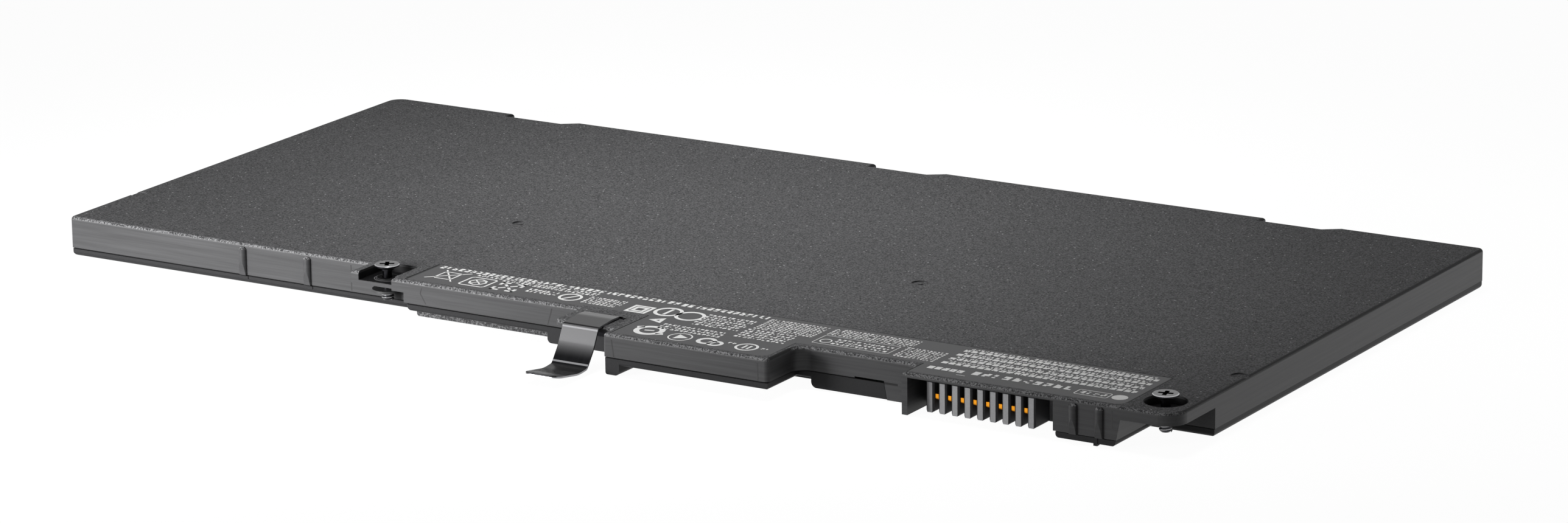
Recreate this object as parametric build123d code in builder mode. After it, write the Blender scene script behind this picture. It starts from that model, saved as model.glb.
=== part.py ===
# A flat three-cell laptop battery in a two-part moulded case. Millimetres, +Z up.
# The origin lies on the plane the battery rests on, below the middle of its whole length and depth.
# The front strip, with the screw ears, the sprung clip and the connector, faces -Y.
import os

from build123d import *

os.makedirs("parts", exist_ok=True)

# Overall sizes
PACK_WIDTH = 230.0
SLAB_DEPTH = 102.0
PACK_HEIGHT = 7.3
CLIP_REACH = 28.1  # how far the clip's tip stands out in front of the slab

# Walls of the case
DECK = 0.8
FLOOR = 0.7
WALL = 1.0
COVER_INSET = 0.3  # the bottom cover stands this far inside the top cover's outline
PARTING_GAP = 0.2
SLAB_PARTING = 1.45  # height of the parting groove round the slab
STRIP_PARTING = 3.15  # its height along the front strip
STRIP_FLOOR = 1.9  # underside of the front strip
LIP_INSET = 0.55
LIP_HEIGHT = 0.6
LIP_CLEARANCE = 0.1
EDGE_RADIUS = 0.6
TRAY_RADIUS = 0.8
CORNER_RADIUS = 0.8
BACK_LEFT_RADIUS = 3.0
BACK_RIGHT_RADIUS = 1.0

# Front strip, from the left: how wide each part is and how far it stands out in front of the slab
EAR_INSET = 65.3
EAR_WALL = 1.6
EAR_REACH = 5.4
NOTCH_WIDTH = 7.6
NOTCH_DEPTH = 2.0  # how far the screw notch runs back into the slab
RAIL_STEP = 2.5  # the rail's lower half starts this far to the right of its upper half
RAIL_REACH = 6.4
SHELF_WIDTH = 11.8
SHELF_REACH = 14.3
SHELF_THICKNESS = 1.0
SHELF_RADIUS = 1.5
BLOCK_WIDTH = 32.2
BLOCK_REACH = 17.4
FINGER_WIDTH = 22.8
FINGER_REACH = 7.9
FINGER_LEFT_RADIUS = 2.5
FINGER_RIGHT_RADIUS = 1.8
BAY_WALL = 1.05
BAY_WIDTH = 26.85
BAY_REACH = 13.2
RIB_BLOCK_WIDTH = 10.7
TAB_WIDTH = 11.6
TAB_RADIUS = 3.5
EAR_HEIGHT = 2.2  # both ears, from the deck down
PLATE = 0.65  # the plate that each screw head comes down on

# Undersides of the front strip
KEEL_SETBACK = 3.0  # the keel under the rail stands this far behind the rail's front
KEEL_BOTTOM = 0.3
KEEL_INSET = 0.6
KEEL_RADIUS = 0.5
HEEL_WIDTH = 6.7  # the deeper part of the rail beside the clip
HEEL_BOTTOM = 0.15
BLOCK_FOOT_WIDTH = 2.7
BLOCK_FOOT_RADIUS = 0.8
TONGUE_INSET = 2.3
TONGUE_WIDTH = 13.85
TONGUE_SLANT = 0.55
TONGUE_RADIUS = 1.0
TONGUE_GAP = 0.25
TONGUE_RELIEF = 5.6  # the groove over the tongue is wider for this length
TONGUE_RELIEF_HEIGHT = 0.25
RIB_BLOCK_BOTTOM = 0.4
RIB_BLOCK_RADIUS = 0.6
RIB_BLOCK_FLARE = 0.75  # how far the rib block runs in under the right ear
RIB_BLOCK_DRAFT = 0.7  # how much further its right side leans out up to the ear

# Upright locating ribs on the front walls
RIB_RADIUS = 0.75
RIB_DROP = 0.6  # top of a rib, below the deck
RIB_FACET = 0.35  # how far the flat facet still stands out at the rib's foot
LEFT_RIB_INSET = 38.3
LEFT_RIB_PITCH = 13.9
BLOCK_RIB_INSET = 3.7
BLOCK_RIB_PITCH = 4.7
STUB_PROUD = 0.12
NUB_WIDTH = 0.7  # pointed stub under the rib block
NUB_INSET = 7.6
NUB_BOTTOM = 0.05

# Back edge and deck marks
RECESS_INSET = 35.0
RECESS_LENGTH = 15.0
RECESS_RAMP = 3.0
RECESS_DEPTH = 2.05
NICK_INSET = 17.0
NICK_LENGTH = 3.2
NICK_DEPTH = 0.55
SIDE_NICK_INSET = 16.9
SIDE_NICK_LENGTH = 2.8
SIDE_NICK_DEPTH = 0.3
DIMPLE_RADIUS = 1.5
LEFT_DIMPLE_INSET = 73.6
RIGHT_DIMPLE_INSET = 74.5
DIMPLE_ROW = 35.0
LEFT_MARK = (1.2, 18.7)  # the half-hidden marks beside each end: in from the end, back from the slab's front
RIGHT_MARK = (1.6, 11.6)
DIMPLE_DEPTH = 0.25
GATE_RADIUS = 0.45
GATE_HEIGHT = 0.12

# Label
LABEL_RECESS = 0.15
LABEL_THICKNESS = 0.12
LABEL_CLEARANCE = 0.12
LABEL_MARGIN = 1.1
LABEL_DEPTH = 5.0  # how far the label runs back over the slab
LABEL_INSET = 2.2
LABEL_CLIP_MARGIN = 1.8
LABEL_TAB_MARGIN = 1.35
LABEL_RADIUS = 2.0

# Captive screws
SCREW_INSET = 1.85  # left screw's axis, in front of the slab
SCREW_NOTCH_INSET = 3.6
TAB_SCREW_INSET = 5.3
TAB_SCREW_REACH = 6.9
TAB_HOLE_RADIUS = 3.6
SCREW_HOLE_RADIUS = 0.95
SEAT_RADIUS = 1.9
SEAT_HEIGHT = 0.2
HEAD_RADIUS = 2.18
HEAD_THICKNESS = 0.35
HEAD_BEVEL = 0.12
COLLAR_RADIUS = 1.6
COLLAR_HEIGHT = 0.45
BOSS_RADIUS = 1.15
BOSS_HEIGHT = 0.25
SHANK_RADIUS = 0.8
SHANK_LENGTH = 3.3
GROOVE_RADIUS = 0.6
THREAD_RADIUS = 1.0
THREAD_LENGTH = 1.6
TIP_CHAMFER = 0.25
CROSS_LENGTH = 2.4
CROSS_WIDTH = 0.58
CROSS_DEPTH = 0.7
RING_RADIUS = 2.7
RING_THICKNESS = 0.45
RING_CLEARANCE = 0.05
LEFT_SCREW_RISE = 1.0  # top of the head, above the deck
RIGHT_SCREW_RISE = 1.35
LEFT_SCREW_TURN = 31.0
RIGHT_SCREW_TURN = 12.0

# Spring clip
CLIP_SHEET = 0.3
CLIP_WIDTH = 7.0
CLIP_ROOT_WIDTH = 8.0
CLIP_INSET = 6.4  # the clip's centre line, from the shelf's left end
CLIP_ROOT_REACH = 8.3
CLIP_ROOT_BOTTOM = 3.6
CLIP_TIP_RADIUS = 1.4
SLOT_WIDTH = 8.5
SLOT_DEPTH = 1.0
GUIDE_WIDTH = 1.3
GUIDE_STOP = 0.2
SHEET_CLEARANCE = 0.05

# Cells
CELL_CLEARANCE = 0.3
CELL_RIB = 0.6
CELL_FRONT = 6.5
CELL_TERRACE = 3.0
TERRACE_THICKNESS = 0.4
CELL_CORNER = 1.2
CELL_EDGE = 0.8
SWELL_GAP = 0.75
PAD_THICKNESS = 0.15
PAD_MARGIN = 8.0
TAB_LENGTH = 4.1
CELL_TAB_WIDTH = 6.0
CELL_TAB_OFFSET = 15.0
CELL_TAB_THICKNESS = 0.2
TAPE_THICKNESS = 0.15
TAPE_OVERLAP = 3.0

# Protection board and what is soldered on it
BOARD_THICKNESS = 0.8
BOARD_CLEARANCE = 0.2
BOARD_BACK = 4.6
BOARD_ARM_FRONT = 1.3
BOARD_ARM_INSET = 18.0
POST_RADIUS = 1.4
PIN_RADIUS = 0.6
PIN_CLEARANCE = 0.1
PIN_RISE = 0.15
POST_REACH = 3.0
CHIP = (6.4, 6.4, 1.0)
TRANSISTOR = (5.0, 6.0, 0.9)
FUSE = (4.0, 3.2, 1.2)
RESISTOR = (6.4, 3.2, 0.6)
CAPACITOR = (1.6, 0.8, 0.8)
PART_GAP = 2.0

# Connector
COMB_RIBS = 9
COMB_PITCH = 2.35
COMB_RIB_WIDTH = 1.5
COMB_RIB_CHAMFER = 0.28
COMB_RIB_CORNER = 0.3
COMB_INSET = 1.65
COMB_REACH = 10.1
COMB_BOTTOM = 0.2
COMB_HEIGHT = 5.1
BODY_REACH = 5.3
BODY_BACK = 2.9
BODY_BOTTOM = 0.3
BODY_SHELF = 2.0
BODY_CLEARANCE = 0.15
CONTACT_WIDTH = 0.57
CONTACT_HEIGHT = 1.05
CONTACT_NOSE_RADIUS = 0.47
CONTACT_BOTTOM = 2.3
CONTACT_REACH = 9.7
CONTACT_TAIL = 0.25
CONTACT_CLEARANCE = 0.05

# Places that follow from the sizes above
LEFT = -PACK_WIDTH / 2
RIGHT = PACK_WIDTH / 2
FRONT = (CLIP_REACH - SLAB_DEPTH) / 2
BACK = FRONT + SLAB_DEPTH
CEILING = PACK_HEIGHT - DECK
SLAB_SKIRT = SLAB_PARTING + PARTING_GAP / 2
SLAB_RIM = SLAB_PARTING - PARTING_GAP / 2
STRIP_SKIRT = STRIP_PARTING + PARTING_GAP / 2
STRIP_RIM = STRIP_PARTING - PARTING_GAP / 2
EAR_BOTTOM = PACK_HEIGHT - EAR_HEIGHT
PLATE_TOP = EAR_BOTTOM + PLATE
EAR_LEFT = LEFT + EAR_INSET
NOTCH_LEFT = EAR_LEFT + EAR_WALL
RAIL_LEFT = NOTCH_LEFT + NOTCH_WIDTH
RAIL_FOOT_LEFT = RAIL_LEFT + RAIL_STEP
TAB_LEFT = RIGHT - TAB_WIDTH
RIB_BLOCK_LEFT = TAB_LEFT - RIB_BLOCK_WIDTH
RIB_BLOCK_RIGHT = TAB_LEFT + RIB_BLOCK_FLARE
BAY_LEFT = RIB_BLOCK_LEFT - BAY_WIDTH
FINGER_RIGHT = BAY_LEFT - BAY_WALL
FINGER_LEFT = FINGER_RIGHT - FINGER_WIDTH
BLOCK_LEFT = FINGER_LEFT - BLOCK_WIDTH
SHELF_LEFT = BLOCK_LEFT - SHELF_WIDTH
HEEL_LEFT = SHELF_LEFT - HEEL_WIDTH
EAR_FRONT = FRONT - EAR_REACH
RAIL_FRONT = FRONT - RAIL_REACH
SHELF_FRONT = FRONT - SHELF_REACH
BLOCK_FRONT = FRONT - BLOCK_REACH
FINGER_FRONT = FRONT - FINGER_REACH
BAY_FRONT = FRONT - BAY_REACH
KEEL_LEFT = RAIL_FOOT_LEFT + KEEL_INSET
KEEL_FRONT = RAIL_FRONT + KEEL_SETBACK
TONGUE_LEFT = FINGER_LEFT + TONGUE_INSET
TONGUE_RIGHT = TONGUE_LEFT + TONGUE_WIDTH
RECESS_RAMP_LENGTH = (RECESS_RAMP**2 + RECESS_DEPTH**2) ** 0.5
BOARD_BOTTOM = STRIP_FLOOR + FLOOR
BOARD_TOP = BOARD_BOTTOM + BOARD_THICKNESS
CONNECTOR_BACK = FRONT - BODY_BACK
CELL_BACK = BACK - RECESS_DEPTH - WALL - CELL_CLEARANCE
CELL_PITCH = (PACK_WIDTH - 2 * WALL + CELL_RIB) / 3
CELL_WIDTH = CELL_PITCH - CELL_RIB - 2 * CELL_CLEARANCE
CELL_BOTTOM = FLOOR + PAD_THICKNESS
CELL_TOP = CEILING - SWELL_GAP
CLIP_X = SHELF_LEFT + CLIP_INSET
CLIP_ROOT_Y = FRONT - CLIP_ROOT_REACH
LEFT_SCREW = (NOTCH_LEFT + SCREW_NOTCH_INSET, FRONT - SCREW_INSET)
RIGHT_SCREW = (RIGHT - TAB_SCREW_INSET, FRONT - TAB_SCREW_REACH)
HEAD_LENGTH = HEAD_THICKNESS + COLLAR_HEIGHT + BOSS_HEIGHT


def area(x0, x1, y0, y1, mode=Mode.ADD):
    """A rectangle in the sketch at hand, given by its four sides."""
    with Locations(((x0 + x1) / 2, (y0 + y1) / 2)):
        Rectangle(x1 - x0, y1 - y0, mode=mode)


def at_corner(shapes, x, y):
    """The upright edges, or the sketch corners, at one corner of the plan."""
    near = 0.01
    return shapes.filter_by_position(Axis.X, x - near, x + near).filter_by_position(Axis.Y, y - near, y + near)


def slab_area(inset=0.0):
    """The slab's outline, moved in by an inset: a rectangle with three shallow recesses along its back edge."""
    back = BACK - inset
    area(LEFT + inset, RIGHT - inset, FRONT + inset, back)
    ramp_shift = inset * (RECESS_RAMP_LENGTH - RECESS_RAMP) / RECESS_DEPTH
    for middle in (LEFT + RECESS_INSET, 0, RIGHT - RECESS_INSET):
        step = middle - RECESS_LENGTH / 2 - inset
        ramp = middle + RECESS_LENGTH / 2 + ramp_shift
        floor = back - RECESS_DEPTH
        Polygon(
            (step, back), (step, floor), (ramp - RECESS_RAMP, floor), (ramp, back),
            align=None, mode=Mode.SUBTRACT,
        )


def strip_areas(inset=0.0):
    """The hollow parts of the front strip that share the higher parting groove, moved in by an inset."""
    inside = FRONT + 2 * WALL
    area(RAIL_FOOT_LEFT + inset, BLOCK_LEFT + inset, RAIL_FRONT + inset, inside)
    area(BLOCK_LEFT + inset, FINGER_LEFT - inset, BLOCK_FRONT + inset, inside)
    area(FINGER_LEFT - inset, BAY_LEFT - inset, FINGER_FRONT + inset, inside)


def rib_block_area(inset):
    """The block of ribs between the connector bay and the right ear, moved in by an inset."""
    area(RIB_BLOCK_LEFT + inset, RIB_BLOCK_RIGHT - inset, BAY_FRONT + inset, FRONT + 2 * WALL)


def label_outline(clearance):
    """The label's corners, each side moved out by a clearance."""
    back = FRONT + LABEL_DEPTH + clearance
    left = RAIL_LEFT + LABEL_INSET - clearance
    rail = RAIL_FRONT + LABEL_MARGIN - clearance
    clip = RAIL_FRONT + LABEL_CLIP_MARGIN - clearance
    block_left = BLOCK_LEFT + LABEL_MARGIN - clearance
    block = BLOCK_FRONT + LABEL_MARGIN - clearance
    block_right = FINGER_LEFT - LABEL_MARGIN + clearance
    finger = FINGER_FRONT + LABEL_MARGIN - clearance
    bay_left = FINGER_RIGHT + LABEL_MARGIN / 2 - clearance
    bay = BAY_FRONT + LABEL_MARGIN - clearance
    right = TAB_LEFT + LABEL_TAB_MARGIN + clearance
    Polygon(
        (left, back), (left, rail), (SHELF_LEFT, rail), (SHELF_LEFT, clip), (block_left, clip), (block_left, block),
        (block_right, block), (block_right, finger), (bay_left, finger), (bay_left, bay), (right, bay), (right, back),
        align=None,
    )
    return (block_right, block), (right, bay)


def front_rib(x, wall):
    """An upright half-round rib on a front wall, its lower half drafted back to a flat facet."""
    foot = SLAB_SKIRT
    head = PACK_HEIGHT - RIB_DROP
    bend = (foot + head) / 2
    with BuildPart(mode=Mode.PRIVATE) as rib:
        with BuildSketch(Plane((x, wall, foot))):
            Circle(RIB_RADIUS)
        extrude(amount=head - foot)
        chamfer(rib.edges().group_by(Axis.Z)[-1], RIB_RADIUS / 2)
        with BuildSketch(Plane.YZ.offset(x)):
            Polygon(
                (wall - RIB_RADIUS, bend), (wall - RIB_FACET, foot), (wall - 2 * RIB_RADIUS, foot),
                align=None,
            )
        extrude(amount=RIB_RADIUS, both=True, mode=Mode.SUBTRACT)
    return rib.part


RIB_PLACES = (
    (LEFT + LEFT_RIB_INSET, FRONT),
    (LEFT + LEFT_RIB_INSET + LEFT_RIB_PITCH, FRONT),
    (RIB_BLOCK_LEFT + BLOCK_RIB_INSET, BAY_FRONT),
    (RIB_BLOCK_LEFT + BLOCK_RIB_INSET + BLOCK_RIB_PITCH, BAY_FRONT),
)
front_ribs = [front_rib(x, wall) for x, wall in RIB_PLACES]

# Each part of the front strip: left side, right side, front, underside of the top cover there
STRIP_PARTS = (
    (EAR_LEFT, RAIL_FOOT_LEFT, EAR_FRONT, EAR_BOTTOM),
    (RAIL_LEFT, RAIL_FOOT_LEFT, RAIL_FRONT, EAR_BOTTOM),
    (RAIL_FOOT_LEFT, BLOCK_LEFT, RAIL_FRONT, STRIP_SKIRT),
    (SHELF_LEFT, BLOCK_LEFT, SHELF_FRONT, PACK_HEIGHT - SHELF_THICKNESS),
    (BLOCK_LEFT, FINGER_LEFT, BLOCK_FRONT, STRIP_SKIRT),
    (FINGER_LEFT, BAY_LEFT, FINGER_FRONT, STRIP_SKIRT),
    (FINGER_RIGHT, RIB_BLOCK_LEFT, BAY_FRONT, CEILING),
    (RIB_BLOCK_LEFT, RIB_BLOCK_RIGHT, BAY_FRONT, SLAB_SKIRT),
    (TAB_LEFT, RIGHT, BAY_FRONT, EAR_BOTTOM),
)

# Each rounded corner of the top cover's plan
PLAN_CORNERS = (
    (LEFT, BACK, BACK_LEFT_RADIUS),
    (RIGHT, BACK, BACK_RIGHT_RADIUS),
    (LEFT, FRONT, CORNER_RADIUS),
    (SHELF_LEFT, SHELF_FRONT, SHELF_RADIUS),
    (BLOCK_LEFT, BLOCK_FRONT, CORNER_RADIUS),
    (FINGER_LEFT, BLOCK_FRONT, CORNER_RADIUS),
    (FINGER_LEFT, FINGER_FRONT, FINGER_LEFT_RADIUS),
    (FINGER_RIGHT, FINGER_FRONT, FINGER_RIGHT_RADIUS),
    (RIGHT, BAY_FRONT, TAB_RADIUS),
)

# Top cover
with BuildPart() as top_cover:
    with BuildSketch(Plane.XY.offset(SLAB_SKIRT)):
        slab_area()
    extrude(amount=PACK_HEIGHT - SLAB_SKIRT)
    for x0, x1, front, underside in STRIP_PARTS:
        with BuildSketch(Plane.XY.offset(underside)):
            area(x0, x1, front, FRONT + WALL)
        extrude(amount=PACK_HEIGHT - underside)
    for x, y, radius in PLAN_CORNERS:
        fillet(at_corner(top_cover.edges().filter_by(Axis.Z), x, y), radius)
    fillet(top_cover.faces().sort_by(Axis.Z)[-1].outer_wire().edges(), EDGE_RADIUS)
    add(front_ribs)
    with BuildSketch(Plane.XZ.offset(-BAY_FRONT)):
        Polygon(
            (TAB_LEFT, SLAB_SKIRT), (RIB_BLOCK_RIGHT, SLAB_SKIRT), (RIB_BLOCK_RIGHT + RIB_BLOCK_DRAFT, EAR_BOTTOM),
            (TAB_LEFT, EAR_BOTTOM),
            align=None,
        )
    extrude(amount=BAY_FRONT - FRONT - WALL)
    # Hollow inside, open below and open to the connector bay
    with BuildSketch(Plane.XY) as hollow:
        slab_area(WALL)
        strip_areas(WALL)
        rib_block_area(WALL)
        fillet(at_corner(hollow.vertices(), LEFT + WALL, BACK - WALL), BACK_LEFT_RADIUS - WALL)
        area(BAY_LEFT, RIB_BLOCK_LEFT, BAY_FRONT - WALL, FRONT + 2 * WALL)
        area(FINGER_RIGHT - WALL, RIB_BLOCK_LEFT + 2 * WALL, CONNECTOR_BACK, FRONT + 2 * WALL)
    extrude(amount=CEILING, mode=Mode.SUBTRACT)
    with BuildSketch(Plane.XY.offset(SLAB_SKIRT)):
        area(RAIL_FOOT_LEFT, RAIL_FOOT_LEFT + WALL, FRONT, FRONT + WALL)
    extrude(amount=STRIP_SKIRT - SLAB_SKIRT, mode=Mode.SUBTRACT)
    # The skirts are rabbeted on the inside for the bottom cover's lip
    with BuildSketch(Plane.XY.offset(SLAB_SKIRT)):
        slab_area(LIP_INSET - LIP_CLEARANCE)
    extrude(amount=LIP_HEIGHT, mode=Mode.SUBTRACT)
    # Deep wall of the bay and the deep right end of the finger recess
    with BuildSketch(Plane.XY.offset(HEEL_BOTTOM)):
        area(FINGER_RIGHT, BAY_LEFT, BAY_FRONT + EDGE_RADIUS, CONNECTOR_BACK)
        area(FINGER_RIGHT, BAY_LEFT, BAY_FRONT, BAY_FRONT + EDGE_RADIUS)
    extrude(amount=CEILING - HEEL_BOTTOM)
    with BuildSketch(Plane.XZ.offset(-FINGER_FRONT)):
        Polygon(
            (TONGUE_RIGHT + TONGUE_GAP, STRIP_SKIRT), (TONGUE_RIGHT + TONGUE_GAP + TONGUE_SLANT, KEEL_BOTTOM),
            (BAY_LEFT, KEEL_BOTTOM), (BAY_LEFT, STRIP_SKIRT),
            align=None,
        )
    extrude(amount=-WALL)
    with BuildSketch(Plane.XY.offset(STRIP_SKIRT)):
        area(TONGUE_RIGHT + TONGUE_GAP - TONGUE_RELIEF, TONGUE_RIGHT + TONGUE_GAP, FINGER_FRONT - WALL, FINGER_FRONT + WALL)
    extrude(amount=TONGUE_RELIEF_HEIGHT, mode=Mode.SUBTRACT)
    # Walls and floor round the screw notch, then the notch, the ear's hole and the two screw holes
    with BuildSketch(Plane.XY.offset(EAR_BOTTOM)):
        area(EAR_LEFT, RAIL_LEFT + WALL, FRONT, FRONT + NOTCH_DEPTH + WALL)
    extrude(amount=CEILING - EAR_BOTTOM)
    with BuildSketch(Plane.XY.offset(PLATE_TOP)):
        area(NOTCH_LEFT, RAIL_LEFT, EAR_FRONT - WALL, FRONT + NOTCH_DEPTH)
        with Locations(RIGHT_SCREW):
            Circle(TAB_HOLE_RADIUS)
    extrude(amount=PACK_HEIGHT, mode=Mode.SUBTRACT)
    with BuildSketch(Plane.XY.offset(PLATE_TOP)):
        with Locations(LEFT_SCREW, RIGHT_SCREW):
            Circle(SEAT_RADIUS)
    extrude(amount=SEAT_HEIGHT)
    with BuildSketch(Plane.XY.offset(EAR_BOTTOM)):
        with Locations(LEFT_SCREW, RIGHT_SCREW):
            Circle(SCREW_HOLE_RADIUS)
    extrude(amount=PACK_HEIGHT, mode=Mode.SUBTRACT)
    # Guides that hold the clip's root, and the slot it goes in through
    guide_bottom = CLIP_ROOT_BOTTOM - GUIDE_STOP
    with BuildSketch(Plane.XY.offset(guide_bottom)):
        for side in (-1, 1):
            middle = CLIP_X + side * (CLIP_ROOT_WIDTH + GUIDE_WIDTH - 2 * CLIP_SHEET) / 2
            area(middle - GUIDE_WIDTH / 2, middle + GUIDE_WIDTH / 2, CLIP_ROOT_Y - 2 * CLIP_SHEET, RAIL_FRONT)
    extrude(amount=PACK_HEIGHT - SHELF_THICKNESS - guide_bottom)
    with BuildSketch(Plane.XY.offset(CLIP_ROOT_BOTTOM)):
        half = CLIP_SHEET / 2 + SHEET_CLEARANCE
        reach = CLIP_ROOT_WIDTH / 2 + SHEET_CLEARANCE
        area(CLIP_X - reach, CLIP_X + reach, CLIP_ROOT_Y - half, CLIP_ROOT_Y + half)
    extrude(amount=PACK_HEIGHT, mode=Mode.SUBTRACT)
    with BuildSketch(Plane.XY.offset(PACK_HEIGHT - SHELF_THICKNESS)):
        area(CLIP_X - SLOT_WIDTH / 2, CLIP_X + SLOT_WIDTH / 2, CLIP_ROOT_Y + CLIP_SHEET - SLOT_DEPTH, CLIP_ROOT_Y + CLIP_SHEET)
    extrude(amount=PACK_HEIGHT, mode=Mode.SUBTRACT)
    # Label recess and the round marks of the mould on the deck
    with BuildSketch(Plane.XY.offset(PACK_HEIGHT - LABEL_RECESS)) as label_seat:
        rounded = label_outline(LABEL_CLEARANCE)
        for x, y in rounded:
            fillet(at_corner(label_seat.vertices(), x, y), LABEL_RADIUS)
    extrude(amount=PACK_HEIGHT, mode=Mode.SUBTRACT)
    DIMPLES = (
        (LEFT + LEFT_DIMPLE_INSET, FRONT + DIMPLE_ROW),
        (RIGHT - RIGHT_DIMPLE_INSET, FRONT + DIMPLE_ROW),
        (LEFT + LEFT_MARK[0], FRONT + LEFT_MARK[1]),
        (RIGHT - RIGHT_MARK[0], FRONT + RIGHT_MARK[1]),
    )
    with BuildSketch(Plane.XY.offset(PACK_HEIGHT - DIMPLE_DEPTH)):
        with Locations(*DIMPLES):
            Circle(DIMPLE_RADIUS)
    extrude(amount=PACK_HEIGHT, mode=Mode.SUBTRACT)
    with BuildSketch(Plane.XY.offset(PACK_HEIGHT - DIMPLE_DEPTH)):
        with Locations(*DIMPLES[:2]):
            Circle(GATE_RADIUS)
    extrude(amount=GATE_HEIGHT)
    # Nicks in the back edge and the left edge
    with BuildSketch(Plane.XY):
        for middle in (LEFT + NICK_INSET, 0, RIGHT - NICK_INSET):
            floor = BACK if middle else BACK - RECESS_DEPTH
            area(middle - NICK_LENGTH / 2, middle + NICK_LENGTH / 2, floor - NICK_DEPTH, BACK + WALL)
        nick = FRONT + SIDE_NICK_INSET
        area(LEFT - WALL, LEFT + SIDE_NICK_DEPTH, nick - SIDE_NICK_LENGTH / 2, nick + SIDE_NICK_LENGTH / 2)
    extrude(amount=PACK_HEIGHT, mode=Mode.SUBTRACT)
top_cover.part.label = "top_cover"
export_step(top_cover.part, "parts/top_cover.step")

# Label film
with BuildPart() as label_film:
    with BuildSketch(Plane.XY.offset(PACK_HEIGHT - LABEL_RECESS)) as label_face:
        rounded = label_outline(0)
        for x, y in rounded:
            fillet(at_corner(label_face.vertices(), x, y), LABEL_RADIUS - LABEL_CLEARANCE)
    extrude(amount=LABEL_THICKNESS)
label_film.part.label = "label_film"
export_step(label_film.part, "parts/label_film.step")

# Bottom cover
with BuildPart() as bottom_cover:
    # Floor of the front strip, under the rail, the block and the finger recess
    with BuildSketch(Plane.XY.offset(STRIP_FLOOR)):
        strip_areas(COVER_INSET)
        area(TONGUE_RIGHT, BAY_LEFT, FINGER_FRONT - WALL, FINGER_FRONT + WALL + COVER_INSET, mode=Mode.SUBTRACT)
        area(FINGER_RIGHT - COVER_INSET, BAY_LEFT, FINGER_FRONT - WALL, CONNECTOR_BACK + COVER_INSET, mode=Mode.SUBTRACT)
    extrude(amount=STRIP_RIM - STRIP_FLOOR)
    fillet(bottom_cover.edges().group_by(Axis.Z)[0].filter_by(Axis.Y).sort_by(Axis.X)[0], TRAY_RADIUS)
    fillet(bottom_cover.edges().group_by(Axis.Z)[0].sort_by(Axis.X)[1:], TRAY_RADIUS / 2)
    # Tray under the slab, and the same under the block of ribs
    with BuildSketch(Plane.XY):
        slab_area(COVER_INSET)
    extrude(amount=SLAB_RIM)
    fillet(at_corner(bottom_cover.edges().filter_by(Axis.Z), LEFT + COVER_INSET, BACK - COVER_INSET), BACK_LEFT_RADIUS)
    fillet(bottom_cover.edges().group_by(Axis.Z)[0], TRAY_RADIUS)
    # Keel, heel, foot and tongue: where the cover comes down to the laptop's floor
    with BuildSketch(Plane.XZ.offset(-KEEL_FRONT)) as keel_face:
        area(KEEL_LEFT, FINGER_RIGHT - COVER_INSET, KEEL_BOTTOM, BOARD_BOTTOM)
        fillet(at_corner(keel_face.vertices(), KEEL_LEFT, KEEL_BOTTOM), KEEL_RADIUS)
    extrude(amount=KEEL_FRONT - FRONT - 2 * WALL)
    with BuildSketch(Plane.XY.offset(KEEL_BOTTOM)):
        area(FINGER_RIGHT - COVER_INSET, RIB_BLOCK_LEFT + WALL, CONNECTOR_BACK + COVER_INSET, FRONT + 2 * WALL)
        area(TONGUE_LEFT, FINGER_RIGHT - COVER_INSET, FINGER_FRONT + WALL + COVER_INSET, KEEL_FRONT)
    extrude(amount=BOARD_BOTTOM - KEEL_BOTTOM)
    with BuildSketch(Plane.XZ.offset(-BLOCK_FRONT - COVER_INSET)) as foot_face:
        foot_left = BLOCK_LEFT + COVER_INSET
        foot_right = foot_left + BLOCK_FOOT_WIDTH
        area(foot_left, foot_right, HEEL_BOTTOM, BOARD_BOTTOM)
        fillet(at_corner(foot_face.vertices(), foot_left, HEEL_BOTTOM), BLOCK_FOOT_RADIUS / 2)
        fillet(at_corner(foot_face.vertices(), foot_right, HEEL_BOTTOM), BLOCK_FOOT_RADIUS)
    extrude(amount=BLOCK_FRONT + COVER_INSET - KEEL_FRONT - WALL)
    with BuildSketch(Plane.XY.offset(HEEL_BOTTOM)):
        area(HEEL_LEFT, BLOCK_LEFT + COVER_INSET + WALL, RAIL_FRONT + COVER_INSET, KEEL_FRONT + WALL)
    extrude(amount=BOARD_BOTTOM - HEEL_BOTTOM)
    heel_corner = bottom_cover.edges().filter_by(Axis.Y).filter_by_position(Axis.Z, HEEL_BOTTOM - 0.01, HEEL_BOTTOM + 0.01)
    fillet(heel_corner.sort_by(Axis.X)[0], TRAY_RADIUS)
    with BuildSketch(Plane.XZ.offset(-FINGER_FRONT - COVER_INSET)) as tongue_face:
        Polygon(
            (TONGUE_LEFT, STRIP_RIM), (TONGUE_LEFT, KEEL_BOTTOM),
            (TONGUE_RIGHT + TONGUE_SLANT, KEEL_BOTTOM), (TONGUE_RIGHT, STRIP_RIM),
            align=None,
        )
        fillet(at_corner(tongue_face.vertices(), TONGUE_LEFT, KEEL_BOTTOM), TONGUE_RADIUS)
    extrude(amount=-WALL)
    with BuildSketch(Plane.XZ.offset(-BAY_FRONT - COVER_INSET)) as rib_block_face:
        area(RIB_BLOCK_LEFT + COVER_INSET, RIB_BLOCK_RIGHT - COVER_INSET, RIB_BLOCK_BOTTOM, SLAB_RIM)
        fillet(rib_block_face.vertices().group_by(Axis.Y)[0], RIB_BLOCK_RADIUS)
    extrude(amount=BAY_FRONT + COVER_INSET - FRONT - 2 * WALL)
    with BuildSketch(Plane.XY.offset(NUB_BOTTOM)):
        nub = RIB_BLOCK_LEFT + NUB_INSET
        area(nub - NUB_WIDTH / 2, nub + NUB_WIDTH / 2, BAY_FRONT + COVER_INSET - STUB_PROUD, BAY_FRONT + WALL)
    extrude(amount=SLAB_RIM - NUB_BOTTOM)
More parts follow.
